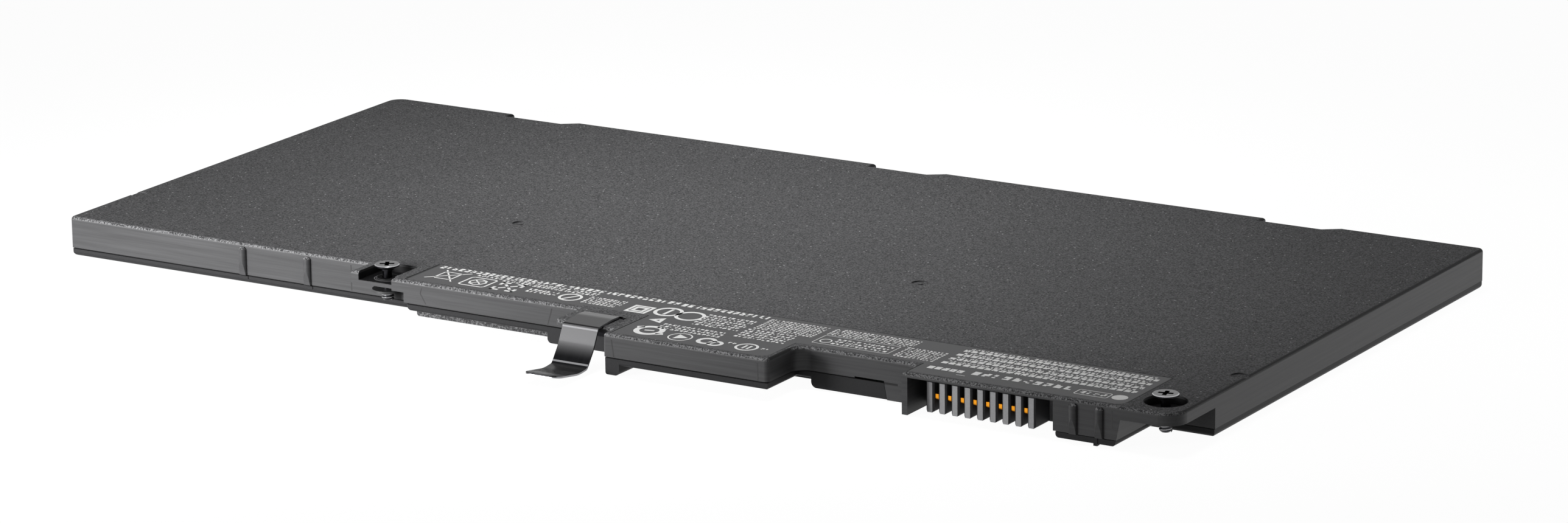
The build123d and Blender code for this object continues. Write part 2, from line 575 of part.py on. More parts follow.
    # Hollow inside
    with BuildSketch(Plane.XY.offset(FLOOR)):
        slab_area(WALL)
    extrude(amount=PACK_HEIGHT, mode=Mode.SUBTRACT)
    with BuildSketch(Plane.XY.offset(KEEL_BOTTOM + FLOOR)):
        area(KEEL_LEFT + FLOOR, FINGER_RIGHT - COVER_INSET - FLOOR, KEEL_FRONT + FLOOR, FRONT + WALL)
        area(FINGER_RIGHT - WALL - FLOOR, RIB_BLOCK_LEFT, CONNECTOR_BACK + COVER_INSET + FLOOR, FRONT + WALL)
    extrude(amount=PACK_HEIGHT, mode=Mode.SUBTRACT)
    with BuildSketch(Plane.XY.offset(RIB_BLOCK_BOTTOM + FLOOR)):
        area(RIB_BLOCK_LEFT + WALL, RIB_BLOCK_RIGHT - WALL, BAY_FRONT + WALL, FRONT + WALL)
    extrude(amount=PACK_HEIGHT, mode=Mode.SUBTRACT)
    with BuildSketch(Plane.XY.offset(BOARD_BOTTOM)):
        slab_area(WALL)
        strip_areas(WALL)
        area(FINGER_RIGHT - WALL, RIB_BLOCK_LEFT + WALL, CONNECTOR_BACK, FRONT + WALL)
    extrude(amount=PACK_HEIGHT, mode=Mode.SUBTRACT)
    # Lip that rises inside the top cover's skirt
    with BuildSketch(Plane.XY.offset(SLAB_RIM)):
        slab_area(LIP_INSET)
        with BuildSketch(mode=Mode.SUBTRACT):
            slab_area(WALL)
        area(RAIL_FOOT_LEFT - WALL, RIGHT - WALL, FRONT - WALL, FRONT + WALL, mode=Mode.SUBTRACT)
    extrude(amount=LIP_HEIGHT)
    # Posts and pins for the board, ribs between the cells
    with BuildSketch(Plane.XY.offset(FLOOR)):
        with Locations((0, FRONT + POST_REACH)):
            with GridLocations(CELL_PITCH / 2, 1, 3, 1):
                Circle(POST_RADIUS)
    extrude(amount=BOARD_BOTTOM - FLOOR)
    with BuildSketch(Plane.XY.offset(BOARD_BOTTOM)):
        with Locations((0, FRONT + POST_REACH)):
            with GridLocations(CELL_PITCH / 2, 1, 3, 1):
                Circle(PIN_RADIUS)
    extrude(amount=BOARD_THICKNESS + PIN_RISE)
    with BuildSketch(Plane.XY.offset(FLOOR)):
        for side in (-1, 1):
            middle = side * CELL_PITCH / 2
            area(middle - CELL_RIB / 2, middle + CELL_RIB / 2, FRONT + CELL_FRONT + CELL_TERRACE, CELL_BACK)
    extrude(amount=(CELL_TOP - CELL_BOTTOM) / 2)
    # Small stubs on the tray's front below the ribs
    with BuildSketch(Plane.XY.offset(TRAY_RADIUS)):
        for x, wall in RIB_PLACES[:2]:
            area(x - RIB_RADIUS, x + RIB_RADIUS, wall + COVER_INSET - STUB_PROUD, wall + WALL)
    extrude(amount=SLAB_RIM - TRAY_RADIUS)
bottom_cover.part.label = "bottom_cover"
export_step(bottom_cover.part, "parts/bottom_cover.step")


def pouch_cell(middle):
    """A flat pouch cell with its sealed terrace at the front."""
    front = FRONT + CELL_FRONT
    terrace_bottom = BOARD_TOP + (CELL_TAB_THICKNESS - TERRACE_THICKNESS) / 2
    with BuildPart() as cell:
        with BuildSketch(Plane.XY.offset(CELL_BOTTOM)):
            area(middle - CELL_WIDTH / 2, middle + CELL_WIDTH / 2, front + CELL_TERRACE, CELL_BACK)
        extrude(amount=CELL_TOP - CELL_BOTTOM)
        chamfer(cell.edges().filter_by(Axis.Z), CELL_CORNER)
        chamfer(cell.edges().group_by(Axis.Z)[-1] + cell.edges().group_by(Axis.Z)[0], CELL_EDGE)
        with BuildSketch(Plane.XY.offset(terrace_bottom)):
            width = CELL_WIDTH - 2 * CELL_CORNER
            area(middle - width / 2, middle + width / 2, front, front + CELL_TERRACE + CELL_CORNER)
        extrude(amount=TERRACE_THICKNESS)
    return cell


# Cells
cell_left = pouch_cell(-CELL_PITCH)
cell_left.part.label = "cell_left"
export_step(cell_left.part, "parts/cell_left.step")
cell_middle = pouch_cell(0)
cell_middle.part.label = "cell_middle"
export_step(cell_middle.part, "parts/cell_middle.step")
cell_right = pouch_cell(CELL_PITCH)
cell_right.part.label = "cell_right"
export_step(cell_right.part, "parts/cell_right.step")

# Adhesive pads under the cells
with BuildPart() as adhesive_pads:
    with BuildSketch(Plane.XY.offset(FLOOR)):
        for cell in (-1, 0, 1):
            middle = cell * CELL_PITCH
            half = CELL_WIDTH / 2 - PAD_MARGIN
            area(middle - half, middle + half, FRONT + CELL_FRONT + CELL_TERRACE + PAD_MARGIN, CELL_BACK - PAD_MARGIN)
    extrude(amount=PAD_THICKNESS)
adhesive_pads.part.label = "adhesive_pads"
export_step(adhesive_pads.part, "parts/adhesive_pads.step")

# Cell tabs, welded on the board
with BuildPart() as cell_tabs:
    with BuildSketch(Plane.XY.offset(BOARD_TOP)):
        for cell in (-1, 0, 1):
            for side in (-1, 1):
                middle = cell * CELL_PITCH + side * CELL_TAB_OFFSET
                area(
                    middle - CELL_TAB_WIDTH / 2, middle + CELL_TAB_WIDTH / 2,
                    FRONT + CELL_FRONT - TAB_LENGTH, FRONT + CELL_FRONT,
                )
    extrude(amount=CELL_TAB_THICKNESS)
cell_tabs.part.label = "cell_tabs"
export_step(cell_tabs.part, "parts/cell_tabs.step")

# Insulating strip over the welded tabs
with BuildPart() as tab_tape:
    half = CELL_PITCH + CELL_TAB_OFFSET + CELL_TAB_WIDTH / 2 + TAPE_OVERLAP
    with BuildSketch(Plane.XY.offset(BOARD_TOP + CELL_TAB_THICKNESS)):
        area(-half, half, FRONT + CELL_FRONT - TAB_LENGTH, FRONT + CELL_FRONT - CELL_CLEARANCE)
    extrude(amount=TAPE_THICKNESS)
tab_tape.part.label = "tab_tape"
export_step(tab_tape.part, "parts/tab_tape.step")

# Protection board
board_front = RAIL_FRONT + WALL + BOARD_CLEARANCE
board_back = FRONT + BOARD_BACK
bay_front = CONNECTOR_BACK + BODY_CLEARANCE
with BuildPart() as protection_board:
    with BuildSketch(Plane.XY.offset(BOARD_BOTTOM)):
        area(LEFT + BOARD_ARM_INSET, TAB_LEFT - WALL - BOARD_CLEARANCE, FRONT + BOARD_ARM_FRONT, board_back)
        area(RAIL_FOOT_LEFT + WALL + BOARD_CLEARANCE, FINGER_RIGHT - BOARD_CLEARANCE, board_front, board_back)
        area(FINGER_RIGHT - BOARD_CLEARANCE, TAB_LEFT - WALL - BOARD_CLEARANCE, bay_front, board_back)
        area(
            BLOCK_LEFT + WALL + BOARD_CLEARANCE, FINGER_LEFT - WALL - BOARD_CLEARANCE,
            BLOCK_FRONT + WALL + BOARD_CLEARANCE, board_back,
        )
        with Locations((0, FRONT + POST_REACH)):
            with GridLocations(CELL_PITCH / 2, 1, 3, 1):
                Circle(PIN_RADIUS + PIN_CLEARANCE, mode=Mode.SUBTRACT)
    extrude(amount=BOARD_THICKNESS)
protection_board.part.label = "protection_board"
export_step(protection_board.part, "parts/protection_board.step")

# Parts soldered on the board: the larger ones in the block, the others behind the finger recess
block_middle = (BLOCK_LEFT + FINGER_LEFT) / 2
block_row = (BLOCK_FRONT + FRONT) / 2
with BuildPart() as gauge_chip:
    with BuildSketch(Plane((block_middle - CHIP[0], block_row, BOARD_TOP))):
        Rectangle(CHIP[0], CHIP[1])
    extrude(amount=CHIP[2])
gauge_chip.part.label = "gauge_chip"
export_step(gauge_chip.part, "parts/gauge_chip.step")

with BuildPart() as power_transistors:
    with BuildSketch(Plane((block_middle + CHIP[0], block_row, BOARD_TOP))):
        with GridLocations(TRANSISTOR[0] + PART_GAP, 1, 2, 1):
            Rectangle(TRANSISTOR[0], TRANSISTOR[1])
    extrude(amount=TRANSISTOR[2])
power_transistors.part.label = "power_transistors"
export_step(power_transistors.part, "parts/power_transistors.step")

with BuildPart() as board_capacitors:
    with BuildSketch(Plane((block_middle - CHIP[0], block_row, BOARD_TOP))):
        with GridLocations(CAPACITOR[0] + PART_GAP, CHIP[1] + PART_GAP, 2, 2):
            Rectangle(CAPACITOR[0], CAPACITOR[1])
    extrude(amount=CAPACITOR[2])
board_capacitors.part.label = "board_capacitors"
export_step(board_capacitors.part, "parts/board_capacitors.step")

finger_middle = (FINGER_LEFT + FINGER_RIGHT) / 2
finger_row = (FINGER_FRONT + WALL + BOARD_CLEARANCE + FRONT) / 2
with BuildPart() as chip_fuse:
    with BuildSketch(Plane((finger_middle - RESISTOR[0], finger_row, BOARD_TOP))):
        Rectangle(FUSE[0], FUSE[1])
    extrude(amount=FUSE[2])
chip_fuse.part.label = "chip_fuse"
export_step(chip_fuse.part, "parts/chip_fuse.step")

with BuildPart() as sense_resistor:
    with BuildSketch(Plane((finger_middle, finger_row, BOARD_TOP))):
        Rectangle(RESISTOR[0], RESISTOR[1])
    extrude(amount=RESISTOR[2])
sense_resistor.part.label = "sense_resistor"
export_step(sense_resistor.part, "parts/sense_resistor.step")

# Connector: a comb of ribs on a body that stands between the walls of the bay
comb_left = BAY_LEFT + COMB_INSET
comb_middle = comb_left + (COMB_RIB_WIDTH + (COMB_RIBS - 1) * COMB_PITCH) / 2
comb_front = FRONT - COMB_REACH
comb_top = COMB_BOTTOM + COMB_HEIGHT
with BuildPart() as connector_housing:
    with BuildSketch(Plane.XY.offset(COMB_BOTTOM)):
        with Locations((comb_middle, FRONT - (COMB_REACH + BODY_REACH) / 2)):
            with GridLocations(COMB_PITCH, 1, COMB_RIBS, 1):
                Rectangle(COMB_RIB_WIDTH, COMB_REACH - BODY_REACH)
    extrude(amount=COMB_HEIGHT)
    upright = connector_housing.edges().filter_by(Axis.Z)
    chamfer(upright.filter_by_position(Axis.Y, comb_front - 0.01, comb_front + 0.01), COMB_RIB_CHAMFER)
    lower = connector_housing.edges().filter_by(Axis.Y).group_by(Axis.Z)[0]
    chamfer(lower, COMB_RIB_CORNER)
    with BuildSketch(Plane.XY.offset(BODY_BOTTOM)):
        area(BAY_LEFT + BODY_CLEARANCE, RIB_BLOCK_LEFT - BODY_CLEARANCE, FRONT - BODY_REACH, CONNECTOR_BACK)
    extrude(amount=comb_top - BODY_BOTTOM)
    with BuildSketch(Plane.XY.offset(BOARD_TOP)):
        area(comb_left, comb_left + (COMB_RIBS - 1) * COMB_PITCH, CONNECTOR_BACK, CONNECTOR_BACK + BODY_SHELF)
    extrude(amount=comb_top - BOARD_TOP)
    # Slots for the contacts
    slot = CONTACT_WIDTH + 2 * CONTACT_CLEARANCE
    riser_back = FRONT - BODY_REACH + CONTACT_HEIGHT + CONTACT_CLEARANCE
    with BuildSketch(Plane.XY.offset(CONTACT_BOTTOM - CONTACT_CLEARANCE)):
        with Locations((comb_middle, (FRONT - BODY_REACH + riser_back) / 2)):
            with GridLocations(COMB_PITCH, 1, COMB_RIBS - 1, 1):
                Rectangle(slot, riser_back - FRONT + BODY_REACH)
    extrude(amount=BOARD_TOP + CONTACT_TAIL - CONTACT_BOTTOM + 2 * CONTACT_CLEARANCE, mode=Mode.SUBTRACT)
    with BuildSketch(Plane.XY.offset(BOARD_TOP - CONTACT_CLEARANCE)):
        with Locations((comb_middle, (riser_back + FRONT) / 2)):
            with GridLocations(COMB_PITCH, 1, COMB_RIBS - 1, 1):
                Rectangle(slot, FRONT - riser_back)
    extrude(amount=CONTACT_TAIL + 2 * CONTACT_CLEARANCE, mode=Mode.SUBTRACT)
connector_housing.part.label = "connector_housing"
export_step(connector_housing.part, "parts/connector_housing.step")

# Contacts: a blade between each two ribs, with a tail soldered on the board
blade_front = FRONT - CONTACT_REACH
blade_back = FRONT - BODY_REACH + CONTACT_HEIGHT
with BuildPart() as connector_contacts:
    for n in range(COMB_RIBS - 1):
        gap_middle = comb_middle + (n - (COMB_RIBS - 2) / 2) * COMB_PITCH
        with BuildSketch(Plane.YZ.offset(gap_middle)) as blade:
            area(blade_front, blade_back, CONTACT_BOTTOM, CONTACT_BOTTOM + CONTACT_HEIGHT)
            nose = blade.vertices().group_by(Axis.Y)[0]
            fillet(nose, CONTACT_NOSE_RADIUS)
            area(FRONT - BODY_REACH + CONTACT_CLEARANCE, blade_back, CONTACT_BOTTOM, BOARD_TOP + CONTACT_TAIL)
            area(blade_back, FRONT, BOARD_TOP, BOARD_TOP + CONTACT_TAIL)
        extrude(amount=CONTACT_WIDTH / 2, both=True)
connector_contacts.part.label = "connector_contacts"
export_step(connector_contacts.part, "parts/connector_contacts.step")

# Spring clip: root down the guides, arched arm over the shelf, S-shaped front and flared tip.
# Each corner of its centre line: distance in front of the slab, height, bend radius there.
CLIP_BENDS = (
    (CLIP_ROOT_REACH, PACK_HEIGHT + 0.3, 1.0),
    (11.2, PACK_HEIGHT + 0.42, 6.0),
    (15.5, PACK_HEIGHT + 0.02, 0.5),
    (17.2, 4.0, 8.0),
    (19.3, 1.2, 0.9),
    (21.8, 0.95, 8.0),
)
CLIP_TIP_HEIGHT = 1.95
with BuildPart() as spring_clip:
    with BuildSketch(Plane.YZ.offset(CLIP_X)):
        with BuildLine():
            FilletPolyline(
                (CLIP_ROOT_Y, CLIP_ROOT_BOTTOM),
                *[(FRONT - reach, height) for reach, height, radius in CLIP_BENDS],
                (FRONT - CLIP_REACH, CLIP_TIP_HEIGHT),
                radius=[radius for reach, height, radius in CLIP_BENDS],
            )
        trace(line_width=CLIP_SHEET)
    extrude(amount=CLIP_ROOT_WIDTH / 2, both=True)
    # The arm is narrower than the root
    with BuildSketch(Plane.XY):
        for side in (-1, 1):
            edges = sorted((CLIP_X + side * CLIP_WIDTH / 2, CLIP_X + side * CLIP_ROOT_WIDTH))
            area(edges[0], edges[1], FRONT - CLIP_REACH - WALL, CLIP_ROOT_Y - 2 * CLIP_SHEET)
    extrude(amount=2 * PACK_HEIGHT, mode=Mode.SUBTRACT)
    tip = spring_clip.faces().sort_by(Axis.Y)[0]
    fillet(tip.edges().sort_by(SortBy.LENGTH)[:2], CLIP_TIP_RADIUS)
spring_clip.part.label = "spring_clip"
export_step(spring_clip.part, "parts/spring_clip.step")


def captive_screw(axis, rise, turn):
    """A captive screw: bevelled flat head, stepped collar, shank, ring groove and short thread."""
    head_top = PACK_HEIGHT + rise
    collar_top = head_top - HEAD_THICKNESS
    boss_top = collar_top - COLLAR_HEIGHT
    shank_top = boss_top - BOSS_HEIGHT
    groove_top = shank_top - SHANK_LENGTH
    thread_top = groove_top - RING_THICKNESS
    tip = thread_top - THREAD_LENGTH
    with BuildPart() as screw:
        with BuildSketch(Plane(origin=(axis[0], axis[1], 0), x_dir=(1, 0, 0), z_dir=(0, -1, 0))):
            with BuildLine():
                Polyline(
                    (0, head_top),
                    (HEAD_RADIUS - HEAD_BEVEL, head_top),
                    (HEAD_RADIUS, head_top - HEAD_BEVEL),
                    (HEAD_RADIUS, collar_top),
                    (COLLAR_RADIUS, collar_top),
                    (BOSS_RADIUS, boss_top),
                    (BOSS_RADIUS, shank_top),
                    (SHANK_RADIUS, shank_top),
                    (SHANK_RADIUS, groove_top),
                    (GROOVE_RADIUS, groove_top),
                    (GROOVE_RADIUS, thread_top),
                    (THREAD_RADIUS, thread_top),
                    (THREAD_RADIUS, tip + TIP_CHAMFER),
                    (THREAD_RADIUS - TIP_CHAMFER, tip),
                    (0, tip),
                    close=True,
                )
            make_face()
        revolve(axis=Axis((axis[0], axis[1], 0), (0, 0, 1)))
        with BuildSketch(Plane((axis[0], axis[1], head_top))):
            Rectangle(CROSS_LENGTH, CROSS_WIDTH, rotation=turn)
            Rectangle(CROSS_WIDTH, CROSS_LENGTH, rotation=turn)
        extrude(amount=-CROSS_DEPTH, taper=8, mode=Mode.SUBTRACT)
    return screw


def retainer(axis, rise, wall_gap):
    """The thin ring that keeps a screw in its ear, snapped into the groove above the thread."""
    top = PACK_HEIGHT + rise - HEAD_LENGTH - SHANK_LENGTH
    with BuildPart() as ring:
        with BuildSketch(Plane((axis[0], axis[1], top))) as face:
            Circle(RING_RADIUS)
            if wall_gap < RING_RADIUS:
                with Locations((0, wall_gap + RING_RADIUS)):
                    Rectangle(2 * RING_RADIUS, 2 * RING_RADIUS, mode=Mode.SUBTRACT)
            Circle(GROOVE_RADIUS + RING_CLEARANCE, mode=Mode.SUBTRACT)
        extrude(amount=-RING_THICKNESS)
    return ring


# Captive screws and their retaining rings; the left ring is flattened beside the slab's front wall
left_screw = captive_screw(LEFT_SCREW, LEFT_SCREW_RISE, LEFT_SCREW_TURN)
left_screw.part.label = "left_screw"
export_step(left_screw.part, "parts/left_screw.step")
right_screw = captive_screw(RIGHT_SCREW, RIGHT_SCREW_RISE, RIGHT_SCREW_TURN)
right_screw.part.label = "right_screw"
export_step(right_screw.part, "parts/right_screw.step")
left_retainer = retainer(LEFT_SCREW, LEFT_SCREW_RISE, SCREW_INSET - COVER_INSET)
left_retainer.part.label = "left_retainer"
export_step(left_retainer.part, "parts/left_retainer.step")
right_retainer = retainer(RIGHT_SCREW, RIGHT_SCREW_RISE, TAB_SCREW_REACH - COVER_INSET)
right_retainer.part.label = "right_retainer"
export_step(right_retainer.part, "parts/right_retainer.step")
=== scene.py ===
import math
import random

import bmesh
import bpy
from mathutils import Matrix, Vector


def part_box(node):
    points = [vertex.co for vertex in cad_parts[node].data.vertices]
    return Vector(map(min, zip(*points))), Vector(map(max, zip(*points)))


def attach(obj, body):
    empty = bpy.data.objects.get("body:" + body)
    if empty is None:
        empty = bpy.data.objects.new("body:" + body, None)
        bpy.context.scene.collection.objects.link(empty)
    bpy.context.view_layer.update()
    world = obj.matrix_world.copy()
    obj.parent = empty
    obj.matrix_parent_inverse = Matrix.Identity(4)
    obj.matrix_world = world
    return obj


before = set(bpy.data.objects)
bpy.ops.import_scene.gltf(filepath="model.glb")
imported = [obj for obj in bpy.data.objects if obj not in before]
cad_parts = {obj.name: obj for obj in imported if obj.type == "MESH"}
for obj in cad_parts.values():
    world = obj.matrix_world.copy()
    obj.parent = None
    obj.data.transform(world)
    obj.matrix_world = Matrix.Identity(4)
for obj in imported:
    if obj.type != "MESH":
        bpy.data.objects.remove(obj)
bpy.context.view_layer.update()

bl_info = {
    "name": "Laptop battery",
    "version": (1, 0, 0),
    "blender": (4, 5, 0),
    "location": "View3D > Sidebar > Battery",
    "description": "Finishes, label print, screw threads and stage for a flat laptop battery",
    "category": "Object",
}

MM = 0.001
DECK_LOW, DECK_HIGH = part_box("top_cover")
LABEL_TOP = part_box("label_film")[1].z
SLAB_DEPTH = 102 * MM
# The slab's front left corner, on the floor
SLAB_CORNER = Vector((DECK_LOW.x, DECK_HIGH.y - SLAB_DEPTH, 0))


def on_slab(x, y, z=0.0):
    """A place given in millimetres from the slab's front left corner."""
    return SLAB_CORNER + Vector((x, y, z)) * MM


def from_hex(text):
    """An sRGB hex colour as linear red, green and blue."""
    channels = [int(text[i:i + 2], 16) / 255 for i in (1, 3, 5)]
    return tuple(c / 12.92 if c <= 0.04045 else ((c + 0.055) / 1.055) ** 2.4 for c in channels)


def per_mm(size):
    """The scale of a texture whose features are this many millimetres wide."""
    return 1000 / size


def add_node(tree, kind, inputs=None, **settings):
    """Adds a node and sets its properties and inputs. A node as an input links its first live output."""
    node = tree.nodes.new(kind)
    for name, value in settings.items():
        setattr(node, name, value)
    for name, value in (inputs or {}).items():
        socket = node.inputs[name]
        if isinstance(value, bpy.types.Node):
            value = next(output for output in value.outputs if output.enabled)
        if isinstance(value, bpy.types.NodeSocket):
            tree.links.new(value, socket)
        elif socket.type == "RGBA":
            socket.default_value = (*value, 1.0)
        else:
            socket.default_value = value
    return node


def new_material(name):
    """A material with an empty node tree."""
    material = bpy.data.materials.new(name)
    material.use_nodes = True
    material.node_tree.nodes.clear()
    return material, material.node_tree


def give(piece_names, material):
    """Puts one material on each named CAD node."""
    for name in piece_names:
        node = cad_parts[name]
        node.data.materials.clear()
        node.data.materials.append(material)


def deselect():
    """Leaves edit mode and deselects everything."""
    if bpy.context.object and bpy.context.object.mode != "OBJECT":
        bpy.ops.object.mode_set(mode="OBJECT")
    bpy.ops.object.select_all(action="DESELECT")


def join(parts):
    """Makes one object of several, which is then the active one."""
    deselect()
    for part in parts:
        part.select_set(True)
    bpy.context.view_layer.objects.active = parts[0]
    bpy.ops.object.join()


def settle(name, material, body):
    """Names the active object, brings its place into its mesh and lets it ride on a body."""
    piece = bpy.context.object
    if piece.mode != "OBJECT":
        bpy.ops.object.mode_set(mode="OBJECT")
    bpy.ops.object.transform_apply(location=True, rotation=True, scale=True)
    piece.name = name
    piece.data.name = name
    piece.data.materials.clear()
    piece.data.materials.append(material)
    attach(piece, body)
    return piece


# Finishes. Lengths are in millimetres.

ABS_IOR = 1.49
STRIP_START = -1.0  # what lies further forward than this belongs to the front strip
SLAB_PARTING = 1.45  # heights of the parting groove
STRIP_PARTING = 3.15
STRIP_PARTING_END = 176.0  # the groove runs along the strip up to here
PARTING_SHADE = 0.36  # width of the groove's painted shade band, drawn wider than life to show


def spark_abs():
    """ABS moulded against a spark-eroded tool: a matt deck with painted glints, satin walls, a crumbly
    painted highlight on the edge in front, and painted shade on the other edges, in the groove, on faces
    turned down and in the screw wells.
    """
    look = bpy.context.scene.battery_case
    material, tree = new_material("spark_eroded_abs")
    place = add_node(tree, "ShaderNodeTexCoord").outputs
    normal = add_node(tree, "ShaderNodeSeparateXYZ", {"Vector": place["Normal"]}).outputs
    deck = add_node(tree, "ShaderNodeMapRange", {"Value": normal["Z"], "From Min": 0.93, "From Max": 0.99})
    rising = add_node(tree, "ShaderNodeMapRange", {"Value": normal["Z"], "From Min": 0.15, "From Max": 0.4})
    edge = add_node(tree, "ShaderNodeMath", {0: rising, 1: deck}, operation="SUBTRACT")
    facing = add_node(tree, "ShaderNodeMapRange", {
        "Value": normal["Y"], "From Min": -0.05, "From Max": -0.35,
    })
    # Grain of the eroded tool, drawn coarser than life to show
    grain = add_node(tree, "ShaderNodeTexNoise", {
        "Vector": place["Object"], "Scale": per_mm(look.grain_size / MM), "Detail": 3.0, "Roughness": 0.65,
    })
    grain_tone = add_node(tree, "ShaderNodeMapRange", {"Value": grain, "From Min": 0.36, "From Max": 0.64})
    # Slow drift of tone over the whole moulding
    cloud = add_node(tree, "ShaderNodeTexNoise", {
        "Vector": place["Object"], "Scale": per_mm(60), "Detail": 2.0,
    })
    # Painted highlights: single light specks on the deck, about a millimetre apart
    painted_glint = add_node(tree, "ShaderNodeTexVoronoi", {"Vector": place["Object"], "Scale": per_mm(1.1)}).outputs
    glint_size = add_node(tree, "ShaderNodeMapRange", {
        "Value": painted_glint["Distance"], "From Min": 0.16, "From Max": 0.08,
    })
    glint_pick = add_node(tree, "ShaderNodeSeparateXYZ", {"Vector": painted_glint["Color"]}).outputs
    glint_some = add_node(tree, "ShaderNodeMapRange", {
        "Value": glint_pick["X"], "From Min": 0.35, "From Max": 1.0,
    })
    painted_glint_mask = add_node(tree, "ShaderNodeMath", {0: glint_size, 1: glint_some}, operation="MULTIPLY")
    # Flow of the plastic along the walls: long faint streaks
    stretch = add_node(tree, "ShaderNodeMapping", {"Vector": place["Object"], "Scale": (0.05, 0.05, 2.4)})
    streak = add_node(tree, "ShaderNodeTexNoise", {
        "Vector": stretch, "Scale": per_mm(1.2), "Detail": 4.0, "Roughness": 0.65,
    })
    streak_tone = add_node(tree, "ShaderNodeMapRange", {"Value": streak, "From Min": 0.3, "From Max": 0.7})
    wall_tone = add_node(tree, "ShaderNodeMix", {
        "Factor": streak_tone, "A": look.wall_dark, "B": look.wall_light,
    }, data_type="RGBA")
    deck_light = add_node(tree, "ShaderNodeMix", {
        "Factor": cloud, "A": look.deck_light, "B": look.deck_pale,
    }, data_type="RGBA")
    deck_tone = add_node(tree, "ShaderNodeMix", {
        "Factor": grain_tone, "A": look.deck_dark, "B": deck_light,
    }, data_type="RGBA")
    painted_glints_on_deck = add_node(tree, "ShaderNodeMix", {
        "Factor": painted_glint_mask, "A": deck_tone, "B": look.painted_glint,
    }, data_type="RGBA")
    body = add_node(tree, "ShaderNodeMix", {"Factor": deck, "A": wall_tone, "B": painted_glints_on_deck}, data_type="RGBA")
    # The rounded edges: a crumbly painted highlight where they face the front, painted shade where they face
    # elsewhere
    crumb = add_node(tree, "ShaderNodeTexNoise", {
        "Vector": place["Object"], "Scale": per_mm(0.3), "Detail": 2.0, "Roughness": 0.6,
    })
    crumb_mask = add_node(tree, "ShaderNodeMapRange", {"Value": crumb, "From Min": 0.42, "From Max": 0.6})
    painted_highlight = add_node(tree, "ShaderNodeMix", {
        "Factor": crumb_mask, "A": look.deck_dark, "B": look.painted_highlight,
    }, data_type="RGBA")
    edge_highlight_and_shade = add_node(tree, "ShaderNodeMix", {
        "Factor": facing, "A": look.painted_shade, "B": painted_highlight,
    }, data_type="RGBA")
    tone = add_node(tree, "ShaderNodeMix", {"Factor": edge, "A": body, "B": edge_highlight_and_shade}, data_type="RGBA")
    # Painted shade: what faces down, such as the roof of the parting groove, is painted black, and so is a
    # band along the groove
    painted_shade_below = add_node(tree, "ShaderNodeMapRange", {"Value": normal["Z"], "From Min": -0.3, "From Max": -0.7})
    parting = parting_groove_shade(tree, place)
    black = add_node(tree, "ShaderNodeMath", {0: painted_shade_below, 1: parting}, operation="MAXIMUM")
    tone = add_node(tree, "ShaderNodeMix", {
        "Factor": black, "A": tone, "B": look.painted_shade,
    }, data_type="RGBA")
    # Painted shade in the wells round the screws, and the ring marks on the left plate painted in the
    # highlight tone as their shine
    wells, rings = screw_well_shade(tree, place)
    tone = add_node(tree, "ShaderNodeMix", {
        "Factor": wells, "A": tone, "B": look.painted_shade,
    }, data_type="RGBA")
    turned = add_node(tree, "ShaderNodeMath", {0: rings, 1: deck}, operation="MULTIPLY")
    tone = add_node(tree, "ShaderNodeMix", {
        "Factor": turned, "A": tone, "B": look.painted_highlight,
    }, data_type="RGBA")
    rough = add_node(tree, "ShaderNodeMapRange", {"Value": deck, "To Min": 0.4, "To Max": 0.8})
    sheen = add_node(tree, "ShaderNodeMapRange", {"Value": rising, "To Min": 0.22, "To Max": 0.05})
    textured = add_node(tree, "ShaderNodeMapRange", {"Value": rising, "To Min": 0.04, "To Max": 1.0})
    height = add_node(tree, "ShaderNodeMath", {0: grain, 1: textured}, operation="MULTIPLY")
    bump = add_node(tree, "ShaderNodeBump", {
        "Height": height, "Strength": 0.7, "Distance": look.grain_depth,
    })
    shader = add_node(tree, "ShaderNodeBsdfPrincipled", {
        "Base Color": tone, "Roughness": rough, "IOR": ABS_IOR, "Specular IOR Level": sheen, "Normal": bump,
    })
    add_node(tree, "ShaderNodeOutputMaterial", {"Surface": shader})
    return material


def parting_groove_shade(tree, place):
    """A mask for the painted shade along the parting groove: low round the slab, higher along the front
    strip.
    """
    spot = add_node(tree, "ShaderNodeSeparateXYZ", {"Vector": place["Object"]}).outputs
    on_strip = add_node(tree, "ShaderNodeMath", {
        0: spot["Y"], 1: on_slab(0, STRIP_START).y,
    }, operation="LESS_THAN")
    level = add_node(tree, "ShaderNodeMapRange", {
        "Value": on_strip, "To Min": SLAB_PARTING * MM, "To Max": STRIP_PARTING * MM,
    })
    line = add_node(tree, "ShaderNodeMath", {
        0: spot["Z"], 1: level, 2: PARTING_SHADE / 2 * MM,
    }, operation="COMPARE")
    # The connector bay and the rib block, to the right, are one moulding at that height
    past = add_node(tree, "ShaderNodeMath", {
        0: spot["X"], 1: on_slab(STRIP_PARTING_END, 0).x,
    }, operation="GREATER_THAN")
    none = add_node(tree, "ShaderNodeMath", {0: past, 1: on_strip}, operation="MULTIPLY")
    return add_node(tree, "ShaderNodeMath", {0: line, 1: none}, operation="SUBTRACT", use_clamp=True)


# The wells that the screw heads stand in, painted dark as shade: heights of their floor and of their mouth
# below the rounded edge, half the left notch's size about its middle, and the right hole's radius
WELL_HEIGHTS = (5.6, 6.9)
NOTCH_HALF = (4.1, 3.65)
NOTCH_MIDDLE = 0.3  # the notch's middle lies this far behind the left screw's axis
HOLE_RADIUS = 3.7
RING_MARKS = (1.9, 2.25)  # radii of the turned rings on the left plate, drawn in the painted highlight tone as their shine
RING_MARK = 0.18  # their width, drawn coarser than life to show


